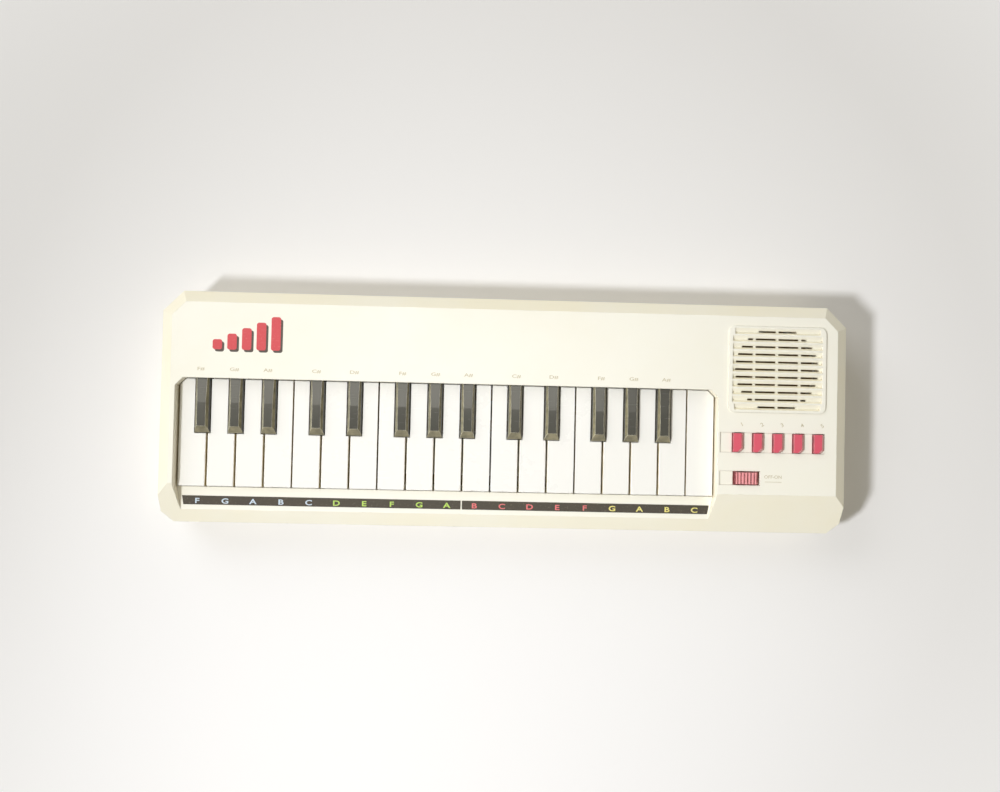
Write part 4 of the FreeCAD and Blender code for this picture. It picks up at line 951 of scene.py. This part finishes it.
@dataclass
class KeyBed:
    """Keys, their pivot rod, the contact board and the felt that they land on."""

    palette: Palette

    def finish(self) -> None:
        """Dresses the keys and what lies under them."""
        dress(numbered("white_key_"), self.palette.white_key)
        dress(numbered("black_key_"), self.palette.black_key)
        dress(["key_pivot_rod"], self.palette.steel)
        dress(["key_board"], self.palette.board)
        dress(["key_stop_felt"], self.palette.felt)


class StripInk(Enum):
    """Inks of the note strip, with the notes that each prints, low to high."""

    BLUE = ("FGABC", srgb(204, 220, 232))
    LIME = ("DEFGA", srgb(184, 218, 96))
    ROSE = ("BCDEF", srgb(230, 112, 114))
    STRAW = ("GABC", srgb(240, 228, 132))


@dataclass(frozen=True)
class StripLength:
    """Printing of one length of the note strip: its first note and the step to the next."""

    first_x: float
    step: float
    notes: int

    def places(self) -> list[float]:
        """Gives the middle of each note name along the strip."""
        return [self.first_x + self.step * i for i in range(self.notes)]


@dataclass
class NoteStrip:
    """Dark strip in front of the keys, with the note names in four inks."""

    palette: Palette
    lengths: tuple[StripLength, ...] = (
        StripLength(first_x=-185.2, step=16.67, notes=10),
        StripLength(first_x=-18.5, step=16.85, notes=9),
    )
    row_y: float = -56.3
    top_z: float = 30.3
    style: Lettering = Lettering(size=4.3, stretch=1.42, weight=0.1)
    dust: Colour = srgb(186, 180, 164)

    def finish(self) -> None:
        """Dresses the strip."""
        dress(["note_label"], self.palette.label)

    def build(self) -> None:
        """Prints the note names."""
        places = iter([x for length in self.lengths for x in length.places()])
        for ink in StripInk:
            notes, colour = ink.value
            letters = []
            for note in notes:
                place = metres(next(places), self.row_y, self.top_z)
                letters.append(Workbench.letters(note, place, self.style))
            piece = Workbench.merge(letters, f"note_names_{ink.name.lower()}")
            film = PrintedFilm(f"strip_ink_{ink.name.lower()}", colour, self.dust).material()
            mount_piece(piece, film, "case")


@dataclass
class PanelPrints:
    """Prints on the top panel: a sign of rising bars, note names and legends."""

    panel_z: float = 40.0
    film: float = 0.06
    bars: int = 5
    bar_width: float = 5.6
    bar_pitch: float = 8.6
    bar_least: float = 6.0
    bar_rise: float = 3.5
    bar_corner: float = 1.4
    sign_left: float = -176.0
    sign_foot: float = 34.6
    shade_shift: float = 1.3
    shade_film: float = 0.03
    sharp_names: tuple[str, ...] = ("F#", "G#", "A#", "C#", "D#")
    sharp_y: float = 22.8
    sharp_style: Lettering = Lettering(size=2.8, stretch=1.5, weight=0.03)
    number_shift: float = 2.4
    number_y: float = -2.9
    number_style: Lettering = Lettering(size=3.4, stretch=1.15, turn=30.0, weight=0.03)
    switch_words: str = "OFF-ON"
    words_x: float = 161.6
    words_y: float = -34.4
    words_style: Lettering = Lettering(size=2.8, stretch=1.05, weight=0.02)
    rule_x: Span = (156.6, 166.8)
    rule_y: Span = (-37.5, -37.2)
    rule_film: float = 0.02
    rule_corner: float = 0.1

    def build(self) -> None:
        """Prints the sign and all the small lettering."""
        red = PrintedFilm("sign_red", srgb(214, 72, 80), srgb(228, 128, 128), roughness=0.45).material()
        dark = PrintedFilm("sign_dark", srgb(70, 62, 56), srgb(118, 108, 98), roughness=0.45).material()
        grey = PrintedFilm("panel_ink", srgb(208, 198, 168), srgb(228, 220, 194), roughness=0.5).material()
        for piece, ink in (
            (self._bars("sign_bars_dark", self.shade_shift, self.shade_film), dark),
            (self._bars("sign_bars_red", 0.0, self.film), red),
            (self._sharps(), grey),
            (self._legends(), grey),
        ):
            mount_piece(piece, ink, "case")

    def _bars(self, name: str, shift: float, film: float) -> bpy.types.Object:
        """Prints one layer of the rising bars.

        Args:
            name: Name of the layer.
            shift: How far it is moved to the right and to the front.
            film: Height of the film above the panel.

        Returns:
            The bars as one piece.
        """
        bars = []
        for i in range(self.bars):
            x = self.sign_left + self.bar_pitch * i + shift
            y = self.sign_foot - shift
            height = self.bar_least + self.bar_rise * i
            low = metres(x, y, self.panel_z - self.film)
            high = metres(x + self.bar_width, y + height, self.panel_z + film)
            bars.append(Workbench.patch(low, high, self.bar_corner * MM))
        return Workbench.merge(bars, name)

    def _sharps(self) -> bpy.types.Object:
        """Names of the black keys along the rear of the well.

        Returns:
            The letters as one piece.
        """
        letters = []
        for i, key in enumerate(numbered("black_key_")):
            name = self.sharp_names[i % len(self.sharp_names)]
            place = (middle_x(key), self.sharp_y * MM, self.panel_z * MM)
            letters.append(Workbench.letters(name, place, self.sharp_style))
        return Workbench.merge(letters, "sharp_names")

    def _legends(self) -> bpy.types.Object:
        """Numbers by the buttons, and words with a rule below them by the switch.

        Returns:
            The prints as one piece.
        """
        prints = []
        for i, button in enumerate(numbered("button_")):
            x = middle_x(button) + self.number_shift * MM
            place = (x, self.number_y * MM, self.panel_z * MM)
            prints.append(Workbench.letters(str(i + 1), place, self.number_style))
        place = metres(self.words_x, self.words_y, self.panel_z)
        prints.append(Workbench.letters(self.switch_words, place, self.words_style))
        low = metres(self.rule_x[0], self.rule_y[0], self.panel_z - self.rule_film)
        high = metres(self.rule_x[1], self.rule_y[1], self.panel_z + self.rule_film)
        prints.append(Workbench.patch(low, high, self.rule_corner * MM))
        return Workbench.merge(prints, "control_legends")


@dataclass
class Controls:
    """Push buttons, slide switch and the board under them."""

    palette: Palette

    def finish(self) -> None:
        """Dresses the controls."""
        dress(numbered("button_"), self.palette.red)
        dress(["switch_knob"], self.palette.knob)
        dress(["switch_body"], self.palette.steel)
        dress(["control_board"], self.palette.board)


@dataclass
class ContactRubber:
    """Rubber sheets with a dome under each key and button."""

    palette: Palette
    dome_radius: float = 2.6
    crown_radius: float = 1.9
    dome_height: float = 2.0
    dome_sides: int = 24
    rim: float = 0.5
    dip: float = 0.3
    rounding: float = 0.2
    rounding_steps: int = 2
    smooth_angle: float = 40.0
    corner: float = 1.0
    key_keep: float = 0.17
    button_keep: float = 0.6

    def build(self) -> None:
        """Builds both sheets with their domes."""
        dome = self._dome()
        keys = sorted(numbered("white_key_") + numbered("black_key_"), key=middle_x)
        self._sheet("key_contact_rubber", "key_rubber_sheet", dome, keys)
        buttons = numbered("button_")
        self._sheet("button_rubber", "button_rubber_sheet", dome, buttons)
        bpy.data.objects.remove(dome)

    def _dome(self) -> bpy.types.Object:
        """One hollow-topped dome at the origin.

        Returns:
            The dome.
        """
        Workbench.clear_selection()
        bpy.ops.mesh.primitive_cone_add(
            vertices=self.dome_sides, radius1=self.dome_radius * MM, radius2=self.crown_radius * MM,
            depth=self.dome_height * MM,
        )
        piece = bpy.context.object
        bpy.ops.object.mode_set(mode="EDIT")
        bpy.ops.mesh.select_mode(type="FACE")
        bpy.ops.mesh.select_all(action="DESELECT")
        bpy.ops.object.mode_set(mode="OBJECT")
        for face in piece.data.polygons:
            face.select = face.normal.z > FACES_UP
        bpy.ops.object.mode_set(mode="EDIT")
        bpy.ops.mesh.inset(thickness=self.rim * MM)
        bpy.ops.transform.translate(value=(0.0, 0.0, -self.dip * MM))
        bpy.ops.object.mode_set(mode="OBJECT")
        bevel = piece.modifiers.new("soft_edges", "BEVEL")
        bevel.width = self.rounding * MM
        bevel.segments = self.rounding_steps
        bpy.ops.object.modifier_apply(modifier="soft_edges")
        bpy.ops.object.shade_smooth_by_angle(angle=math.radians(self.smooth_angle))
        return piece

    def _sheet(
        self, node: str, name: str, dome: bpy.types.Object, owners: Sequence[str]
    ) -> None:
        """Builds one sheet in place of its CAD solid.

        Args:
            node: The CAD node that it stands for.
            name: Name of the sheet.
            dome: The dome to copy.
            owners: What presses each dome, from left to right.
        """
        low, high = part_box(node)
        top = high[2] - self.dome_height * MM
        sheet = Workbench.title(Workbench.patch(low, (high[0], high[1], top), self.corner * MM), name)
        mount_piece(sheet, self.palette.silicone, "case")
        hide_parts(node)
        for owner, (x, y) in zip(owners, level_spots(node, high[2]), strict=True):
            place = (x, y, top + self.dome_height * MM / 2)
            piece = Workbench.copy(dome, place, f"{owner}_dome")
            mount_piece(piece, self.palette.silicone, "case")
            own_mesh(piece)


@dataclass
class SpeakerUnit:
    """Loudspeaker behind the grille."""

    palette: Palette

    def finish(self) -> None:
        """Dresses the loudspeaker and its clamps."""
        dress(["speaker_basket", "speaker_screws"], self.palette.steel)
        dress(["speaker_magnet"], self.palette.magnet)
        dress(["speaker_cone"], self.palette.cone)


@dataclass
class Underside:
    """Feet, screws, battery contacts and wiring."""

    palette: Palette
    recess_core: float = 0.8
    recess_arm: float = 1.1
    recess_lip: float = 0.03
    arrow_inset: float = 5.0
    arrow_low: float = 1.6
    arrow_root: float = 2.1
    shaft_width: float = 2.6
    shaft_length: float = 5.0
    shaft_overlap: float = 0.5
    shaft_corner: float = 0.3
    head_radius: float = 3.6
    head_corner: float = 0.5
    head_steps: int = 3

    def finish(self) -> None:
        """Dresses what shows from below, and the wires inside."""
        dress(["feet"], self.palette.foot_rubber)
        dress(["case_screws", "board_screws", "battery_contacts"], self.palette.steel)
        dress(["ribbon_cable", "speaker_leads", "battery_leads"], self.palette.vinyl)

    def build(self) -> None:
        """Adds dark crosses on the case screws, which paint the shade of their cross recesses, and the arrow
        on the battery door.
        """
        # Dark plated steel on thin flat crosses: painted shade of the screw heads' cross recesses
        dark = PlatedSteel("screw_recess_painted_shade", srgb(74, 71, 66), srgb(52, 50, 46), roughness=0.5).material()
        mount_piece(self._recesses(), dark, "case")
        mount_piece(self._arrow(), self.palette.case, "battery_door")

    def _recesses(self) -> bpy.types.Object:
        """Dark cross that paints the shade of a screw head's cross recess, modelled once and copied to every
        case screw.

        Returns:
            The crosses as one piece.
        """
        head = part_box("case_screws")[0][2]
        low = head - self.recess_lip * MM
        first = self._cross()
        crosses = [Workbench.copy(first, (x, y, low), "cross") for x, y in level_spots("case_screws", head)]
        bpy.data.objects.remove(first)
        return Workbench.merge(crosses, "screw_recesses")

    def _cross(self) -> bpy.types.Object:
        """One cross: a small square whose four edges are drawn out into arms.

        Returns:
            The cross, at the origin.
        """
        Workbench.clear_selection()
        bpy.ops.mesh.primitive_plane_add(size=self.recess_core * MM)
        piece = bpy.context.object
        half = self.recess_core * MM / 2
        near = half / 4
        reach = self.recess_arm * MM
        bpy.ops.object.mode_set(mode="EDIT")
        bpy.ops.mesh.select_mode(type="EDGE")
        for dx, dy in ((1, 0), (-1, 0), (0, 1), (0, -1)):
            bpy.ops.mesh.select_all(action="DESELECT")
            bpy.ops.object.mode_set(mode="OBJECT")
            for edge in piece.data.edges:
                ends = [piece.data.vertices[v].co for v in edge.vertices]
                middle = (ends[0] + ends[1]) / 2
                edge.select = (middle - Vector((dx * half, dy * half, 0.0))).length < near
            bpy.ops.object.mode_set(mode="EDIT")
            bpy.ops.mesh.extrude_edges_move(TRANSFORM_OT_translate={"value": (dx * reach, dy * reach, 0.0)})
        Workbench.thicken(2 * self.recess_lip * MM)
        return piece

    def _arrow(self) -> bpy.types.Object:
        """Raised arrow on the battery door, pointing the way that it slides out.

        Returns:
            The arrow.
        """
        x = middle_x("battery_door") / MM
        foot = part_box("battery_door")[0][1] / MM + self.arrow_inset
        neck = foot + self.shaft_length
        half = self.shaft_width / 2
        low = metres(x - half, foot, self.arrow_low)
        high = metres(x + half, neck + self.shaft_overlap, self.arrow_root)
        shaft = Workbench.patch(low, high, self.shaft_corner * MM)
        Workbench.clear_selection()
        bpy.ops.mesh.primitive_circle_add(
            vertices=3, radius=self.head_radius * MM, fill_type="NGON",
            location=metres(x, neck + self.head_radius / 2, self.arrow_low),
        )
        head = bpy.context.object
        bpy.ops.object.mode_set(mode="EDIT")
        bpy.ops.mesh.select_all(action="SELECT")
        bpy.ops.mesh.bevel(offset=self.head_corner * MM, segments=self.head_steps, affect="VERTICES")
        Workbench.thicken((self.arrow_root - self.arrow_low) * MM)
        return Workbench.merge([shaft, Workbench.settle(head, "arrow_head")], "door_arrow")


@dataclass
class Studio:
    """Pale floor, soft light and the camera of the photograph."""

    floor_size: float = 8.0
    floor_tone: Colour = srgb(253, 252, 250)
    floor_shade: Colour = srgb(250, 249, 247)
    floor_grain: float = 3.0
    floor_roughness: float = 0.9
    fade_start: float = 0.32
    fade_end: float = 0.6
    backdrop: Colour = srgb(249, 248, 245)
    key_place: Place = (-0.42, -0.2, 0.7)
    key_aim: Place = (2.17, -0.7, 0.35)
    key_size: float = 0.125
    key_power: float = 7.9
    back_place: Place = (-0.9, 0.9, 0.8)
    back_aim: Place = (0.0, 0.0, 0.0)
    back_size: float = 1.1
    back_power: float = 7.3
    lamp_colour: Place = (0.985, 0.998, 1.045)
    card_place: Place = (-0.26, 0.291, 1.2)
    card_width: float = 1.1
    card_depth: float = 0.5
    card_power: float = 7.0
    card_colour: Place = (1.0, 0.97, 0.88)
    fill: float = 0.285
    fill_colour: Colour = (1.0, 0.94, 0.8, 1.0)
    camera_place: Place = metres(-22.73, -1.49, 579.01)
    camera_turn: Place = (1.2625, -1.9542, 1.3112)
    lens: float = 32.4
    sensor_width: float = 36.0
    nearest: float = 0.01

    def build(self) -> None:
        """Sets the whole studio."""
        self._floor()
        self._lamp("key_light", self.key_place, self.key_aim, self.key_size, self.key_power)
        self._lamp("back_light", self.back_place, self.back_aim, self.back_size, self.back_power)
        self._card()
        self._world()
        self._camera()
        bpy.context.scene.view_settings.view_transform = "Standard"

    def _floor(self) -> None:
        """Lays the pale floor."""
        Workbench.clear_selection()
        bpy.ops.mesh.primitive_plane_add(size=self.floor_size, location=(0.0, 0.0, 0.0))
        floor = Workbench.settle(bpy.context.object, "floor")
        material, desk, shader = new_surface("floor_paper")
        paper = desk.blend(desk.noise(self.floor_grain, detail=3.0), self.floor_tone, self.floor_shade)
        desk.join(paper, shader.inputs["Base Color"])
        shader.inputs["Roughness"].default_value = self.floor_roughness
        self._fade_out(desk, shader)
        floor.data.materials.append(material)

    @staticmethod
    def _seen(desk: NodeDesk) -> Socket:
        """Gives a mask of the rays that show a surface, as against those that light one.

        Args:
            desk: Desk of the material or world.

        Returns:
            The mask's socket.
        """
        path = desk.add("ShaderNodeLightPath")
        seen = desk.math("MAXIMUM", path.outputs["Is Camera Ray"], path.outputs["Is Glossy Ray"])
        return desk.math("MAXIMUM", seen, path.outputs["Is Transmission Ray"])

    def _fade_out(self, desk: NodeDesk, shader: bpy.types.Node) -> None:
        """Lets the far floor pass into the backdrop.

        Args:
            desk: Desk of the floor's material.
            shader: The floor's shader, already joined to the output.
        """
        surface = shader.outputs["BSDF"].links[0].to_socket
        far = desk.add("ShaderNodeVectorMath", operation="LENGTH")
        desk.join(desk.coords(), far.inputs[0])
        share = desk.remap(far.outputs["Value"], self.fade_start, self.fade_end)
        glow = desk.add("ShaderNodeEmission", {"Color": self.backdrop, "Strength": 1.0})
        mixed = desk.add("ShaderNodeMixShader")
        desk.join(desk.math("MULTIPLY", share, self._seen(desk)), mixed.inputs[0])
        desk.join(shader.outputs["BSDF"], mixed.inputs[1])
        desk.join(glow.outputs[0], mixed.inputs[2])
        desk.join(mixed.outputs[0], surface)

    def _lamp(self, name: str, place: Place, aim: Place, size: float, power: float) -> None:
        """Hangs one round lamp, which lights the object and leaves no glare on it.

        Args:
            name: Name of the lamp.
            place: Where it hangs.
            aim: The point that it looks at.
            size: Its diameter.
            power: Its power.
        """
        light = bpy.data.lights.new(name, "AREA")
        light.shape = "DISK"
        light.size = size
        light.energy = power
        light.color = self.lamp_colour
        lamp = bpy.data.objects.new(name, light)
        lamp.location = place
        lamp.rotation_euler = (Vector(aim) - Vector(place)).to_track_quat("-Z", "Y").to_euler()
        lamp.visible_glossy = False
        bpy.context.scene.collection.objects.link(lamp)

    def _card(self) -> None:
        """Hangs a pale card overhead that only shows as a sheen on glossy tops."""
        light = bpy.data.lights.new("sheen_card", "AREA")
        light.shape = "RECTANGLE"
        light.size = self.card_width
        light.size_y = self.card_depth
        light.energy = self.card_power
        light.color = self.card_colour
        card = bpy.data.objects.new("sheen_card", light)
        card.location = self.card_place
        card.visible_diffuse = False
        bpy.context.scene.collection.objects.link(card)

    def _world(self) -> None:
        """Fills the room with even light and shows a pale backdrop."""
        world = bpy.data.worlds.new("room")
        bpy.context.scene.world = world
        world.use_nodes = True
        world.node_tree.nodes.clear()
        desk = NodeDesk(world.node_tree)
        fill = desk.add("ShaderNodeBackground", {"Color": self.fill_colour, "Strength": self.fill})
        shown = desk.add("ShaderNodeBackground", {"Color": self.backdrop, "Strength": 1.0})
        mixed = desk.add("ShaderNodeMixShader")
        desk.join(self._seen(desk), mixed.inputs[0])
        desk.join(fill.outputs[0], mixed.inputs[1])
        desk.join(shown.outputs[0], mixed.inputs[2])
        output = desk.add("ShaderNodeOutputWorld")
        desk.join(mixed.outputs[0], output.inputs["Surface"])

    def _camera(self) -> None:
        """Sets the camera where the photograph was taken from."""
        data = bpy.data.cameras.new("camera")
        data.lens = self.lens
        data.sensor_width = self.sensor_width
        data.clip_start = self.nearest
        camera = bpy.data.objects.new("camera", data)
        camera.location = self.camera_place
        camera.rotation_euler = tuple(math.radians(turn) for turn in self.camera_turn)
        bpy.context.scene.collection.objects.link(camera)
        bpy.context.scene.camera = camera


def main() -> None:
    """Builds and dresses every sub-assembly in order."""
    logging.basicConfig(level=logging.INFO, format="%(name)s: %(message)s")
    palette = Palette()
    CaseShells(palette).finish()
    KeyBed(palette).finish()
    strip = NoteStrip(palette)
    strip.finish()
    strip.build()
    PanelPrints().build()
    Controls(palette).finish()
    ContactRubber(palette).build()
    SpeakerUnit(palette).finish()
    underside = Underside(palette)
    underside.finish()
    underside.build()
    Studio().build()


if __name__ == "__main__":
    main()
